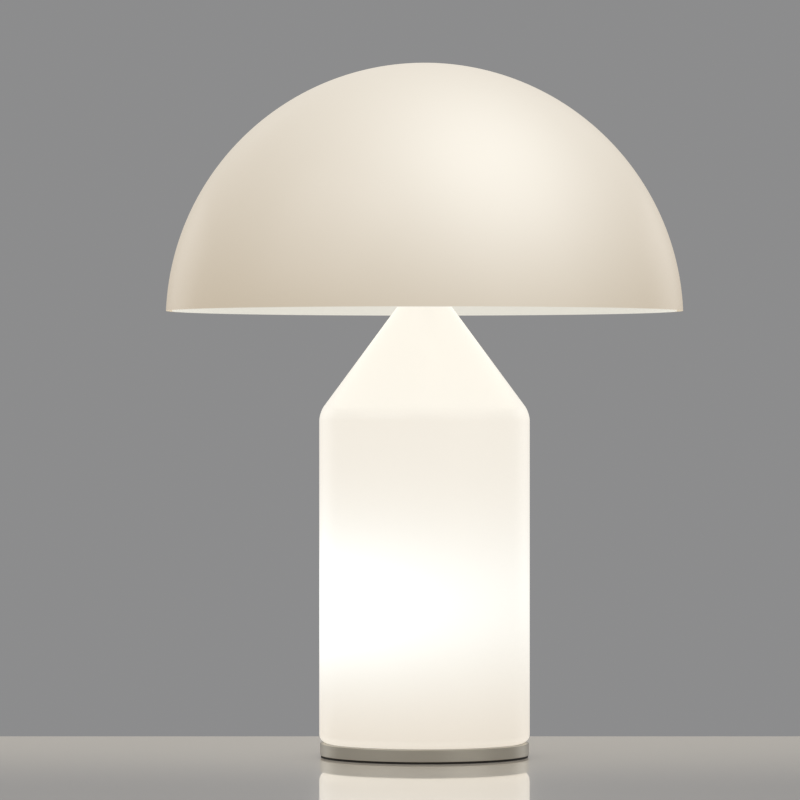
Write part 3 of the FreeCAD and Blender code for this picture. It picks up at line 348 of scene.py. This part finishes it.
# %% The glow's colour
glow, given, result = new_group(
    "opal_glow",
    {"Light": ("Float", 0.5), "Upward": ("Float", 0), "Rise": ("Float", 0),
     "Dim Colour": ("Color", (0.3, 0.25, 0.16, 1)),
     "Bright Colour": ("Color", (0.9, 0.86, 0.8, 1))},
    {"Colour": "Color"})
surface = add_node(glow, "TexCoord")
tilt = add_node(glow, "SeparateXYZ", {0: surface.outputs["Normal"]}).outputs["Z"]
height = add_node(glow, "SeparateXYZ", {0: surface.outputs["Object"]}).outputs["Z"]
looking_up = sum_up(glow, "MAXIMUM", tilt, 0.0)
caught = sum_up(glow, "MULTIPLY_ADD", looking_up, given.outputs["Upward"], given.outputs["Light"])
share = sum_up(glow, "MULTIPLY_ADD", height, given.outputs["Rise"], caught, clamp=True)
lit = blend_colours(glow, share, given.outputs["Dim Colour"], given.outputs["Bright Colour"])
glow.links.new(lit, result.inputs["Colour"])
print(glow.name, "ready")

# %% [markdown]
# ### Grain
#
# No real surface is even. Satin glass, paint and rubber have a fine grain and broad faint
# clouds in colour and gloss. Two noises of one scale give both.

# %% Grain
CLOUD_SHARE = 0.04                # the clouds' scale, as a share of the grain's

grain, given, result = new_group(
    "grain",
    {"Scale": ("Float", 800), "Colour": ("Color", (0.8, 0.8, 0.8, 1)),
     "Colour Change": ("Float", 0.03), "Roughness": ("Float", 0.4),
     "Roughness Change": ("Float", 0.08)},
    {"Colour": "Color", "Roughness": "Float", "Height": "Float"})
surface = add_node(grain, "TexCoord")
fine = add_node(grain, "TexNoise", {
    "Vector": surface.outputs["Object"], "Scale": given.outputs["Scale"], "Detail": 3.0})
broad = add_node(grain, "TexNoise", {
    "Vector": surface.outputs["Object"], "Detail": 2.0,
    "Scale": sum_up(grain, "MULTIPLY", given.outputs["Scale"], CLOUD_SHARE)})
cloud = sum_up(grain, "SUBTRACT", broad.outputs[0], 0.5)
shift = sum_up(grain, "MULTIPLY_ADD", cloud, given.outputs["Colour Change"], 1.0)
coloured = add_node(grain, "VectorMath", {0: given.outputs["Colour"], "Scale": shift},
                    operation="SCALE")
uneven = sum_up(grain, "MULTIPLY_ADD", cloud, given.outputs["Roughness Change"],
                given.outputs["Roughness"])
grain.links.new(coloured.outputs[0], result.inputs["Colour"])
grain.links.new(uneven, result.inputs["Roughness"])
grain.links.new(fine.outputs[0], result.inputs["Height"])
print(grain.name, "ready")

# %% [markdown]
# ### Turning marks
#
# A piece that was turned on a lathe keeps fine rings: round its side, and as circles on a flat
# end. The sum of the distance along the axis and the distance from the centre steps evenly over
# both, so one noise with one input does for the whole piece.

# %% Turning marks
turning, given, result = new_group(
    "turning_marks",
    {"Centre": ("Vector", (0, 0, 0)), "Axis": ("Vector", (0, 0, 1)), "Pitch": ("Float", 0.0005),
     "Roughness": ("Float", 0.25), "Roughness Change": ("Float", 0.1)},
    {"Roughness": "Float", "Height": "Float"})
surface = add_node(turning, "TexCoord")
offset = vector_sum(turning, "SUBTRACT", surface.outputs["Object"], given.outputs["Centre"])
along = vector_sum(turning, "DOT_PRODUCT", offset, given.outputs["Axis"], output=1)
out = vector_sum(turning, "LENGTH", offset, output=1)
step = sum_up(turning, "DIVIDE", sum_up(turning, "ADD", along, out), given.outputs["Pitch"])
ring = add_node(turning, "TexNoise", {"W": step, "Scale": 1.0, "Detail": 2.0},
                noise_dimensions="1D")
mark = sum_up(turning, "SUBTRACT", ring.outputs[0], 0.5)
uneven = sum_up(turning, "MULTIPLY_ADD", mark, given.outputs["Roughness Change"],
                given.outputs["Roughness"])
turning.links.new(uneven, result.inputs["Roughness"])
turning.links.new(ring.outputs[0], result.inputs["Height"])
print(turning.name, "ready")

# %% [markdown]
# ### One shader for every finish
#
# Each material is one Principled shader. What is the same all over a piece is set on the
# shader's sockets as a number, and only what changes over the surface comes from a group.


# %% A material starts as one Principled shader
def new_material(name, **sockets):
    """A material and its Principled shader; sockets that are the same all over are set here."""
    material = bpy.data.materials.new(name)
    material.use_nodes = True
    tree = material.node_tree
    shader = next(node for node in tree.nodes if node.type == "BSDF_PRINCIPLED")
    for label, value in sockets.items():
        shader.inputs[label.replace("_", " ")].default_value = value
    return material, tree, shader


def bump(tree, shader, height, strength, depth):
    """Tilts the shader's normal by a height from 0 to 1."""
    node = add_node(tree, "Bump", {"Height": height, "Strength": strength, "Distance": depth})
    tree.links.new(node.outputs[0], shader.inputs["Normal"])


def grained(name, colour, roughness, scale, strength=0.2, depth=0.05 * MM, **sockets):
    """A finish whose colour, gloss and height follow the shared grain."""
    material, tree, shader = new_material(name, **sockets)
    node = use_group(tree, grain, Scale=scale, Colour=(*colour, 1), Colour_Change=0.03,
                     Roughness=roughness, Roughness_Change=0.08)
    tree.links.new(node.outputs["Colour"], shader.inputs["Base Color"])
    tree.links.new(node.outputs["Roughness"], shader.inputs["Roughness"])
    bump(tree, shader, node.outputs["Height"], strength, depth)
    return material


print("helpers: new_material, bump, grained")

# %% [markdown]
# ## Opal glass
#
# Opal glass is white all through, etched to a satin outside, and lets about half of the light
# pass. Tracing light through it would be slow and noisy, so the part that comes through is
# worked out by the shared groups and given to Emission Color, while Base Color stands for the
# part that the glass throws back.

# %% Opal glass as a function of the bulbs behind it
THROWN_BACK = (0.42, 0.41, 0.38, 1)


def opal(name, bulbs, dim, bright, upward=0.0, rise=0.0, level=0.0):
    """Opal glass lit by bulbs, given as (place, gain).

    The glow's share of the bright colour rises per metre of height, from nothing at level.
    """
    material, tree, shader = new_material(
        name, Emission_Strength=1.0, Specular_IOR_Level=0.5)
    total = -rise * level
    for place, gain in bulbs:
        lamp = use_group(tree, bulb_light, Bulb=place, Gain=gain)
        total = sum_up(tree, "ADD", lamp.outputs["Light"], total)
    colour = use_group(tree, glow, Light=total, Upward=upward, Rise=rise,
                       Dim_Colour=(*dim, 1), Bright_Colour=(*bright, 1))
    tree.links.new(colour.outputs["Colour"], shader.inputs["Emission Color"])
    satin = use_group(tree, grain, Scale=900.0, Colour=THROWN_BACK, Colour_Change=0.03,
                      Roughness=0.3, Roughness_Change=0.06)
    tree.links.new(satin.outputs["Colour"], shader.inputs["Base Color"])
    tree.links.new(satin.outputs["Roughness"], shader.inputs["Roughness"])
    bump(tree, shader, satin.outputs["Height"], strength=0.05, depth=0.02 * MM)
    return material


print("helper: opal")

# %% [markdown]
# From outside, the dome shows two bright spots. The lit cone and sockets below draw them down
# from the bulbs, and they stand a little wider apart. Its inside is lit evenly, because light
# goes to and fro under it many times, so its two colours lie close together.

# %% Both sides of the dome
SPOT_SPREAD = 1.23
SPOT_DROP = 16 * MM
SPOT_GAIN = 0.427
INSIDE_GAIN = 0.3

spots = [Vector((globes[letter].x * SPOT_SPREAD, globes[letter].y,
                 globes[letter].z - SPOT_DROP)) for letter in "ab"]
shade_outside = opal("opal_shade_outside", [(spot, SPOT_GAIN) for spot in spots],
                     dim=(0.223, 0.145, 0.054), bright=(0.928, 0.895, 0.819),
                     rise=1.33, level=rim_height)
shade_inside = opal("opal_shade_inside", [(globes[letter], INSIDE_GAIN) for letter in "ab"],
                    dim=(0.45, 0.44, 0.4), bright=(0.58, 0.575, 0.545))
print("spots at", [tuple(round(value, 4) for value in spot) for spot in spots])

# %% [markdown]
# In the body, the stem stands between the bulb and half of the wall. Its reflection draws the
# bright band towards the axis, so the body is lit as if the bulb stood nearer to it.

# %% The body's glow
STEM_PULL = 0.4                   # what is left of the bulb's distance from the axis
INNER_GAIN = 0.5
BODY_LEVEL = 130 * MM             # from here up the glass gets brighter with height

inner_glow = Vector((globes["c"].x * STEM_PULL, globes["c"].y * STEM_PULL, globes["c"].z))
body_outside = opal("opal_body", [(inner_glow, INNER_GAIN)],
                    dim=(0.575, 0.515, 0.435), bright=(0.92, 0.935, 0.91),
                    upward=0.01, rise=1.36, level=BODY_LEVEL)
print("inner glow at", tuple(round(value, 4) for value in inner_glow))

# %% [markdown]
# ## Working on a mesh by hand
#
# In edit mode, an operator works on the selected faces or edges. They are selected by a test on
# their place or normal, so the selection still holds when a size changes.

# %% Selecting in edit mode
UPRIGHT = 0.9                     # a normal with more than this in z counts as facing up


def edit(kind="FACE"):
    """Goes into edit mode with nothing selected."""
    bpy.ops.object.mode_set(mode="EDIT")
    bpy.ops.mesh.select_mode(type=kind)
    bpy.ops.mesh.select_all(action="DESELECT")


def leave():
    bpy.ops.object.mode_set(mode="OBJECT")


def pick(kind, test):
    """Selects the edges or faces that pass a test, and nothing else."""
    bpy.ops.mesh.select_mode(type=kind)
    bpy.ops.mesh.select_all(action="DESELECT")
    mesh = bmesh.from_edit_mesh(bpy.context.object.data)
    found = [item for item in {"EDGE": mesh.edges, "FACE": mesh.faces}[kind] if test(item)]
    for item in found:
        item.select_set(True)
    mesh.select_flush_mode()
    bmesh.update_edit_mesh(bpy.context.object.data)
    return len(found)


def faces_up(face):
    return face.normal.z > UPRIGHT


def faces_down(face):
    return face.normal.z < -UPRIGHT


print("helpers: edit, leave, pick")

# %% [markdown]
# A finished piece has no doubled points, its normals face outwards, and it is smooth but for
# its edges. Then it joins a body of the frame, gets its slot and takes the place of CAD nodes.

# %% Finishing a piece
MERGE_GAP = 0.01 * MM

slot_of_piece = {}


def mend(piece):
    """Merges doubles and turns all normals outwards."""
    select_only(piece)
    bpy.ops.object.mode_set(mode="EDIT")
    bpy.ops.mesh.select_all(action="SELECT")
    bpy.ops.mesh.remove_doubles(threshold=MERGE_GAP)
    bpy.ops.mesh.normals_make_consistent(inside=False)
    leave()


def smooth(piece, degrees):
    """Smooth shading, but for edges sharper than this."""
    select_only(piece)
    bpy.ops.object.shade_smooth_by_angle(angle=math.radians(degrees))


def stands_for(piece, body, slot, *nodes):
    """Puts a piece on its body in place of its CAD nodes."""
    slot_of_piece[piece] = slot
    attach(piece, body)
    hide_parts(*nodes)
    piece.data.validate()
    print(f"{piece.name}: {len(piece.data.polygons)} faces")


print("helpers: mend, smooth, stands_for")

# %% [markdown]
# ## The dome
#
# The dome is a slice of a sphere, a little less than half of it, blown, cut and polished at the
# rim. A sphere is added at its full size, cut at the rim plane and given its wall inwards. That
# keeps the curve true, which a profile drawn by hand would not.

# %% The dome's shell
GLASS_FACETS = 192                # round each glass
DOME_RINGS = 120

dome = start("uv_sphere", "dome_glass", segments=GLASS_FACETS, ring_count=DOME_RINGS,
             radius=shade_radius, location=shade_centre)
edit()
bpy.ops.mesh.select_all(action="SELECT")
bpy.ops.mesh.bisect(plane_co=(0, 0, rim_height), plane_no=(0, 0, 1), clear_inner=True)
leave()
modify(dome, "SOLIDIFY", thickness=SHADE_WALL, offset=-1, use_even_offset=True)
print(len(dome.data.polygons), "faces before the rim is rounded")

# %% [markdown]
# The polished rim has two small roundings. Both edges that run round the rim are bevelled at
# once, and the short edges across it are left out.

# %% The dome's rim
RIM_ROUNDING = 2 * MM
RIM_LEVEL = 0.5 * MM              # the rim's edges lie this near to the rim plane
RIM_SWERVE = 0.1 * MM             # and keep their distance from the axis to this


def on_rim(edge):
    """An edge that runs round the rim, not across it."""
    first, second = (vert.co for vert in edge.verts)
    level = max(abs(first.z - rim_height), abs(second.z - rim_height)) < RIM_LEVEL
    return level and abs(first.xy.length - second.xy.length) < RIM_SWERVE


edit("EDGE")
print(pick("EDGE", on_rim), "rim edges")
bpy.ops.mesh.bevel(offset=RIM_ROUNDING, segments=6, affect="EDGES")
leave()
mend(dome)
smooth(dome, degrees=60)
dome.data.materials.append(shade_outside)
dome.data.materials.append(shade_inside)
middle_radius = shade_radius - SHADE_WALL / 2
for face in dome.data.polygons:
    face.material_index = int((face.center - shade_centre).length < middle_radius)
stands_for(dome, "shade", "opal_shade", "shade_dome")

# %% [markdown]
# ## The body
#
# The body is blown in one piece: a straight cylinder, a cone up to the neck, and a foot that
# turns in under the glass. It starts as a cylinder. Its top face is extruded and drawn in to
# the neck, and its foot is inset to the flat ring that it stands on.

# %% The body's outline
CONE_HALF_ANGLE = math.radians(36.4)
FOOT_ROUNDING = 6.5 * MM
FOOT_LAND = 2 * MM                # width of the flat ring inside the rounding

neck_radius = body_radius - (neck_height - SHOULDER_HEIGHT) * math.tan(CONE_HALF_ANGLE)
body = start("cylinder", "body_opal", vertices=GLASS_FACETS, radius=body_radius,
             depth=SHOULDER_HEIGHT - glass_foot, end_fill_type="NGON",
             location=(0, 0, (SHOULDER_HEIGHT + glass_foot) / 2))
edit()
pick("FACE", faces_up)
bpy.ops.mesh.extrude_region_move(
    TRANSFORM_OT_translate={"value": (0, 0, neck_height - SHOULDER_HEIGHT)})
shrink = neck_radius / body_radius
bpy.ops.transform.resize(value=(shrink, shrink, 1))
bpy.ops.mesh.delete(type="ONLY_FACE")
pick("FACE", faces_down)
bpy.ops.mesh.inset(thickness=FOOT_ROUNDING + FOOT_LAND)
bpy.ops.mesh.delete(type="ONLY_FACE")
print(f"neck radius {neck_radius:.4f}")

# %% [markdown]
# Blown glass has no sharp bend, so shoulder and foot are bevelled while the body is still a
# thin sheet. Then the wall grows inwards, and both its faces follow the same bends.

# %% The body's bends and wall
SHOULDER_ROUNDING = 18 * MM
RING_GAP = 0.05 * MM              # a ring's points lie this near to its height and radius


def level_edge(height, radius):
    """A test for the edges of one ring."""
    def test(edge):
        return all(abs(vert.co.z - height) < RING_GAP
                   and abs(vert.co.xy.length - radius) < RING_GAP for vert in edge.verts)
    return test


pick("EDGE", level_edge(SHOULDER_HEIGHT, body_radius))
bpy.ops.mesh.bevel(offset=SHOULDER_ROUNDING * math.tan(CONE_HALF_ANGLE / 2), segments=10,
                   affect="EDGES")
pick("EDGE", level_edge(glass_foot, body_radius))
bpy.ops.mesh.bevel(offset=FOOT_ROUNDING, segments=8, affect="EDGES")
leave()
mend(body)
modify(body, "SOLIDIFY", thickness=GLASS_WALL, offset=-1, use_even_offset=True)
smooth(body, degrees=40)
body.data.materials.append(body_outside)
stands_for(body, "root", "opal_body", "body_glass")

# %% [markdown]
# ## The bulbs' screw caps
#
# A small screw cap is pressed from thin sheet with a round thread, 2.82 mm from crest to crest.
# It is modelled once, standing at the origin, and copied to the three bulbs. A copy gets its
# own mesh, with its place and turn in the points, so the object itself stays at the origin.

# %% Where a bulb's foot stands, and how a piece is copied to it
BULB_LENGTH = 78 * MM
UP = Vector((0, 0, 1))


def bulb_foot(letter):
    """The solder tip's end."""
    return globes[letter] - bulb_axis(letter) * (BULB_LENGTH - GLOBE_RADIUS)


def copy_to(piece, name, foot, axis=UP):
    """A copy with its own mesh, moved from the origin to its foot and turned to its axis."""
    twin = piece.copy()
    twin.data = piece.data.copy()
    twin.name = name
    twin.data.name = name
    bpy.context.scene.collection.objects.link(twin)
    turn = UP.rotation_difference(axis)
    twin.data.transform(Matrix.Translation(foot) @ turn.to_matrix().to_4x4())
    return twin


def discard(piece):
    """Removes a pattern's mesh, and the object with it."""
    bpy.data.meshes.remove(piece.data)


for letter in globes:
    print(f"foot {letter} at", [round(value, 4) for value in bulb_foot(letter)])

# %% [markdown]
# ### The thread
#
# One wave of the thread is drawn as a chain of points, by extruding a single point again and
# again. The Screw modifier winds the wave up the axis, and two flat cuts trim the ends, which
# is simpler than fading the thread out.


# %% A chain of points to wind
def chain(name, points):
    """Draws a chain of edges in the XZ plane, from a plane that is merged to one point."""
    piece = start("plane", name, size=MM)
    edit("VERT")
    bpy.ops.mesh.select_all(action="SELECT")
    bpy.ops.mesh.merge(type="CENTER")
    last = Vector((0, 0))
    for number, point in enumerate(points):
        step = Vector(point) - last
        move = {"value": (step.x, 0, step.y)}
        if number == 0:
            bpy.ops.transform.translate(**move)
        else:
            bpy.ops.mesh.extrude_region_move(TRANSFORM_OT_translate=move)
        last = Vector(point)
    leave()
    return piece


# %% The thread of the cap
PITCH = 2.82 * MM
SCREW_RADIUS = 6.7 * MM
THREAD_DEPTH = 0.55 * MM
THREAD_FOOT = 6.8 * MM
THREAD_TOP = 19.6 * MM
WAVE_POINTS = 10
WAVE_START = -1.5 * PITCH         # the winding starts this far from the thread's foot
TURNS = 8
THREAD_STEPS = 48                 # in a turn

wave = []
for number in range(WAVE_POINTS + 1):
    part = number / WAVE_POINTS
    dip = THREAD_DEPTH * (1 - math.cos(math.tau * part)) / 2
    wave.append((SCREW_RADIUS - dip, THREAD_FOOT + WAVE_START + part * PITCH))
cap = chain("screw_cap", wave)
modify(cap, "SCREW", axis="Z", angle=math.tau, screw_offset=PITCH, iterations=TURNS,
       steps=THREAD_STEPS, render_steps=THREAD_STEPS, use_merge_vertices=True,
       merge_threshold=MERGE_GAP)
edit()
for height, cut in ((THREAD_FOOT, {"clear_inner": True}), (THREAD_TOP, {"clear_outer": True})):
    bpy.ops.mesh.select_all(action="SELECT")
    bpy.ops.mesh.bisect(plane_co=(0, 0, height), plane_no=(0, 0, 1), **cut)
leave()
print(len(cap.data.polygons), "faces in the thread")

# %% [markdown]
# ### Collar and skirt
#
# The cut ends of the thread are uneven rings. Each is extruded on, and the new ring is rounded
# off to a circle, so the collar below and the skirt above grow out of the thread without a gap.

# %% Drawing a ring of edges on
LEVEL_GAP = 0.02 * MM


def at_height(height):
    """A test for what lies in one level plane."""
    def test(item):
        return all(abs(vert.co.z - height) < LEVEL_GAP for vert in item.verts)
    return test


def draw_out(steps, height):
    """Extrudes the ring of edges at a height through (radius, height) steps, each a circle."""
    pick("EDGE", at_height(height))
    for radius, level in steps:
        bpy.ops.mesh.extrude_region_move(
            TRANSFORM_OT_translate={"value": (0, 0, level - height)})
        mesh = bmesh.from_edit_mesh(bpy.context.object.data)
        for vert in mesh.verts:
            if vert.select:
                vert.co.xy = vert.co.xy.normalized() * radius
        bmesh.update_edit_mesh(bpy.context.object.data)
        height = level


# %% The whole cap, on three bulbs
CAP_SHEET = 0.25 * MM
CAP_FOOT = 4.3 * MM
COLLAR_RADIUS = SCREW_RADIUS - THREAD_DEPTH / 2
COLLAR_RUN_OUT = 0.5 * MM         # from the thread's end to the full circle
COLLAR_BEND = 0.3 * MM
SKIRT_RUN_OUT = 0.4 * MM
SKIRT_FLARE = 22 * MM
SKIRT_TOP = 24 * MM
SKIRT_RADIUS = 7.7 * MM
SKIRT_BEND = 0.2 * MM

select_only(cap)
edit("EDGE")
draw_out([(COLLAR_RADIUS, THREAD_FOOT - COLLAR_RUN_OUT), (COLLAR_RADIUS, CAP_FOOT + COLLAR_BEND),
          (SCREW_RADIUS - THREAD_DEPTH, CAP_FOOT)], THREAD_FOOT)
draw_out([(SCREW_RADIUS, THREAD_TOP + SKIRT_RUN_OUT), (SKIRT_RADIUS, SKIRT_FLARE),
          (SKIRT_RADIUS, SKIRT_TOP - SKIRT_BEND), (SKIRT_RADIUS - SKIRT_BEND, SKIRT_TOP)],
         THREAD_TOP)
leave()
mend(cap)
modify(cap, "SOLIDIFY", thickness=CAP_SHEET, offset=-1)
smooth(cap, degrees=50)
for letter in globes:
    twin = copy_to(cap, f"screw_cap_{letter}", bulb_foot(letter), bulb_axis(letter))
    stands_for(twin, f"bulb_{letter}", "bulb_metal", f"bulb_cap_{letter}")
discard(cap)

# %% [markdown]
# ## The cover's screws
#
# Three countersunk screws hold the steel cover under the base. A head is a short cylinder whose
# inner end is drawn in to the shank, which is then extruded from it.

# %% A countersunk screw
HEAD_RADIUS = 2.8 * MM
HEAD_HEIGHT = 1.4 * MM
HEAD_ROUNDING = 0.15 * MM
SHANK_RADIUS = 1.5 * MM

screws_low, screws_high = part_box("cover_screws")
screw_length = screws_high.z - screws_low.z
screw = start("cylinder", "screw", vertices=40, radius=HEAD_RADIUS, depth=HEAD_HEIGHT,
              end_fill_type="NGON", location=(0, 0, HEAD_HEIGHT / 2))
edit()
pick("FACE", faces_up)
bpy.ops.transform.resize(value=(SHANK_RADIUS / HEAD_RADIUS, SHANK_RADIUS / HEAD_RADIUS, 1))
bpy.ops.mesh.extrude_region_move(
    TRANSFORM_OT_translate={"value": (0, 0, screw_length - HEAD_HEIGHT)})
pick("EDGE", at_height(0))
bpy.ops.mesh.bevel(offset=HEAD_ROUNDING, segments=3, affect="EDGES")
leave()
print(f"screw {screw_length:.4f} m long")

# %% [markdown]
# The cross for the screwdriver narrows as it goes in. Two tapered blades are cut out of the
# head one after the other by a Boolean, as the punch does it in one stroke.

# %% The cross recess
CROSS_HALF = 1.7 * MM             # from the middle to the end of an arm of the cross
CROSS_WIDTH = 0.55 * MM
CROSS_DEPTH = 1.0 * MM
CROSS_TAPER = 0.6                 # the cross's size at its floor, as a share of that at its mouth

for turn in (0, 90):
    blade = start("cube", "blade", size=1, rotation=(0, 0, math.radians(turn)),
                  scale=(2 * CROSS_HALF, CROSS_WIDTH, 2 * CROSS_DEPTH))
    edit()
    pick("FACE", faces_up)
    bpy.ops.transform.resize(value=(CROSS_TAPER, CROSS_TAPER, 1))
    leave()
    modify(screw, "BOOLEAN", operation="DIFFERENCE", object=blade, solver="EXACT")
    discard(blade)
smooth(screw, degrees=30)
print(len(screw.data.polygons), "faces in a screw")

# %% [markdown]
# The box of the three CAD screws ends at the head of the one that lies on the negative X side,
# and that gives the circle that they stand on.

# %% Three screws on their circle
SCREW_ANGLES = (60, 180, 300)     # degrees

screw_circle = -screws_low.x - HEAD_RADIUS
screws = []
for number, degrees in enumerate(SCREW_ANGLES, start=1):
    angle = math.radians(degrees)
    foot = Vector((screw_circle * math.cos(angle), screw_circle * math.sin(angle), screws_low.z))
    screws.append(copy_to(screw, f"cover_screw_{number}", foot))
discard(screw)
for piece in screws:
    stands_for(piece, "root", slot_of["cover_screws"], "cover_screws")

# %% [markdown]
# ## Finishes of the CAD nodes
#
# The rest of the lamp keeps its CAD shapes, and each slot of the record gets one finish. Steel
# and brass pieces are turned or drawn, so they have rings. The base is a steel disc in a pale
# metallic paint, so it is part metal and has a grain.

# %% Metals and paint
finishes = {}


def turned_metal(name, colour, roughness, pitch):
    """Adds a bare metal with turning marks round the lamp's axis."""
    material, tree, shader = new_material(name, Base_Color=(*colour, 1), Metallic=1.0)
    node = use_group(tree, turning, Pitch=pitch, Roughness=roughness, Roughness_Change=0.12)
    tree.links.new(node.outputs["Roughness"], shader.inputs["Roughness"])
    bump(tree, shader, node.outputs["Height"], strength=0.15, depth=0.01 * MM)
    finishes[name] = material


def add_grained(name, *looks, **sockets):
    finishes[name] = grained(name, *looks, **sockets)


turned_metal("cover_steel", (0.62, 0.61, 0.6), roughness=0.34, pitch=0.4 * MM)
turned_metal("nickel_steel", (0.66, 0.63, 0.57), roughness=0.22, pitch=0.3 * MM)
turned_metal("zinc_steel", (0.6, 0.62, 0.64), roughness=0.35, pitch=0.4 * MM)
turned_metal("brass", (0.79, 0.6, 0.29), roughness=0.28, pitch=0.3 * MM)
turned_metal("bulb_metal", (0.72, 0.71, 0.69), roughness=0.25, pitch=0.3 * MM)
add_grained("base_paint", (0.6, 0.565, 0.485), 0.34, 1400, depth=0.02 * MM, Metallic=0.7)
add_grained("white_lacquer", (0.82, 0.8, 0.75), 0.3, 900, Coat_Weight=0.3)
print(len(finishes), "metals and paints")

# %% [markdown]
# The pad is black rubber, dull and coarse. The tips under the dome are translucent silicone,
# so a part of the light goes through. Sockets and small electric pieces are moulded plastic or
# fired ceramic, which differ in gloss more than in colour.

# %% Rubber, plastics and ceramic
add_grained("foot_rubber", (0.022, 0.018, 0.015), 0.7, 1600, strength=0.5)
add_grained("clear_silicone", (0.78, 0.79, 0.78), 0.35, 500, Transmission_Weight=0.35, IOR=1.41)
add_grained("socket_plastic", (0.8, 0.79, 0.74), 0.35, 900)
add_grained("socket_ceramic", (0.83, 0.81, 0.76), 0.25, 500)
add_grained("terminal_plastic", (0.7, 0.69, 0.64), 0.4, 900)
add_grained("bush_plastic", (0.68, 0.66, 0.6), 0.45, 1200)
print(len(finishes), "finishes so far")

# %% [markdown]
# A bulb's globe is frosted and lit, so it gives off light evenly. Its strength is kept low, or
# the globe would be a white spot without form. Under the cap are black glass and a drop of tin.

# %% Bulbs
add_grained("bulb_glass", (0.85, 0.84, 0.8), 0.35, 1100,
            Emission_Color=(1, 0.93, 0.8, 1), Emission_Strength=0.55)
add_grained("bulb_insulator_glass", (0.02, 0.018, 0.025), 0.12, 400)
add_grained("solder", (0.5, 0.5, 0.5), 0.4, 900, Metallic=1.0)
print(len(finishes), "finishes")

# %% [markdown]
# Each CAD node that still shows takes the finish of its slot, and so does each piece made
# above that has none yet.

# %% Painting nodes and pieces
painted = 0
for name, node in frame["nodes"].items():
    if node.hide_render:
        continue
    node.data.materials.clear()
    node.data.materials.append(finishes[slot_of[name]])
    painted += 1
print(painted, "CAD nodes painted")
for piece, slot in slot_of_piece.items():
    if not piece.data.materials:
        piece.data.materials.append(finishes[slot])
        print(piece.name, "in", slot)

# %% [markdown]
# The table has a clear polish over a pale warm ground, so it mirrors the lamp at this low view.
# Towards its far edge it is paler by painted light, an emission that stands for the light behind the lamp reaching
# it. It sits on the floor alone: only the camera's own rays see it, so it lights nothing.

# %% The table's polish, and painted light at its far edge
FAR_LIGHT = (0.4, 0.35, 0.27, 1)
FAR_LIGHT_START = -0.32           # along Y, on the near side of the lamp

material, tree, shader = new_material("table_gloss", Coat_Weight=1.0, Coat_Roughness=0.03,
                                      Coat_IOR=1.6, Emission_Color=FAR_LIGHT)
ground = use_group(tree, grain, Scale=40.0, Colour=(0.96, 0.9, 0.82, 1), Colour_Change=0.02,
                   Roughness=0.3, Roughness_Change=0.05)
place = add_node(tree, "SeparateXYZ", {0: add_node(tree, "TexCoord").outputs["Object"]})
# Painted light: the emission rises from FAR_LIGHT_START to the table's far edge.
far = add_node(tree, "MapRange", {"Value": place.outputs["Y"], "From Min": FAR_LIGHT_START,
                                  "From Max": TABLE_BACK}, interpolation_type="SMOOTHSTEP")
camera_ray = add_node(tree, "LightPath").outputs["Is Camera Ray"]
painted_far_light = sum_up(tree, "MULTIPLY", far.outputs[0], camera_ray)
tree.links.new(painted_far_light, shader.inputs["Emission Strength"])
tree.links.new(ground.outputs["Colour"], shader.inputs["Base Color"])
tree.links.new(ground.outputs["Roughness"], shader.inputs["Roughness"])
table.data.materials.append(material)
print("table in", material.name)
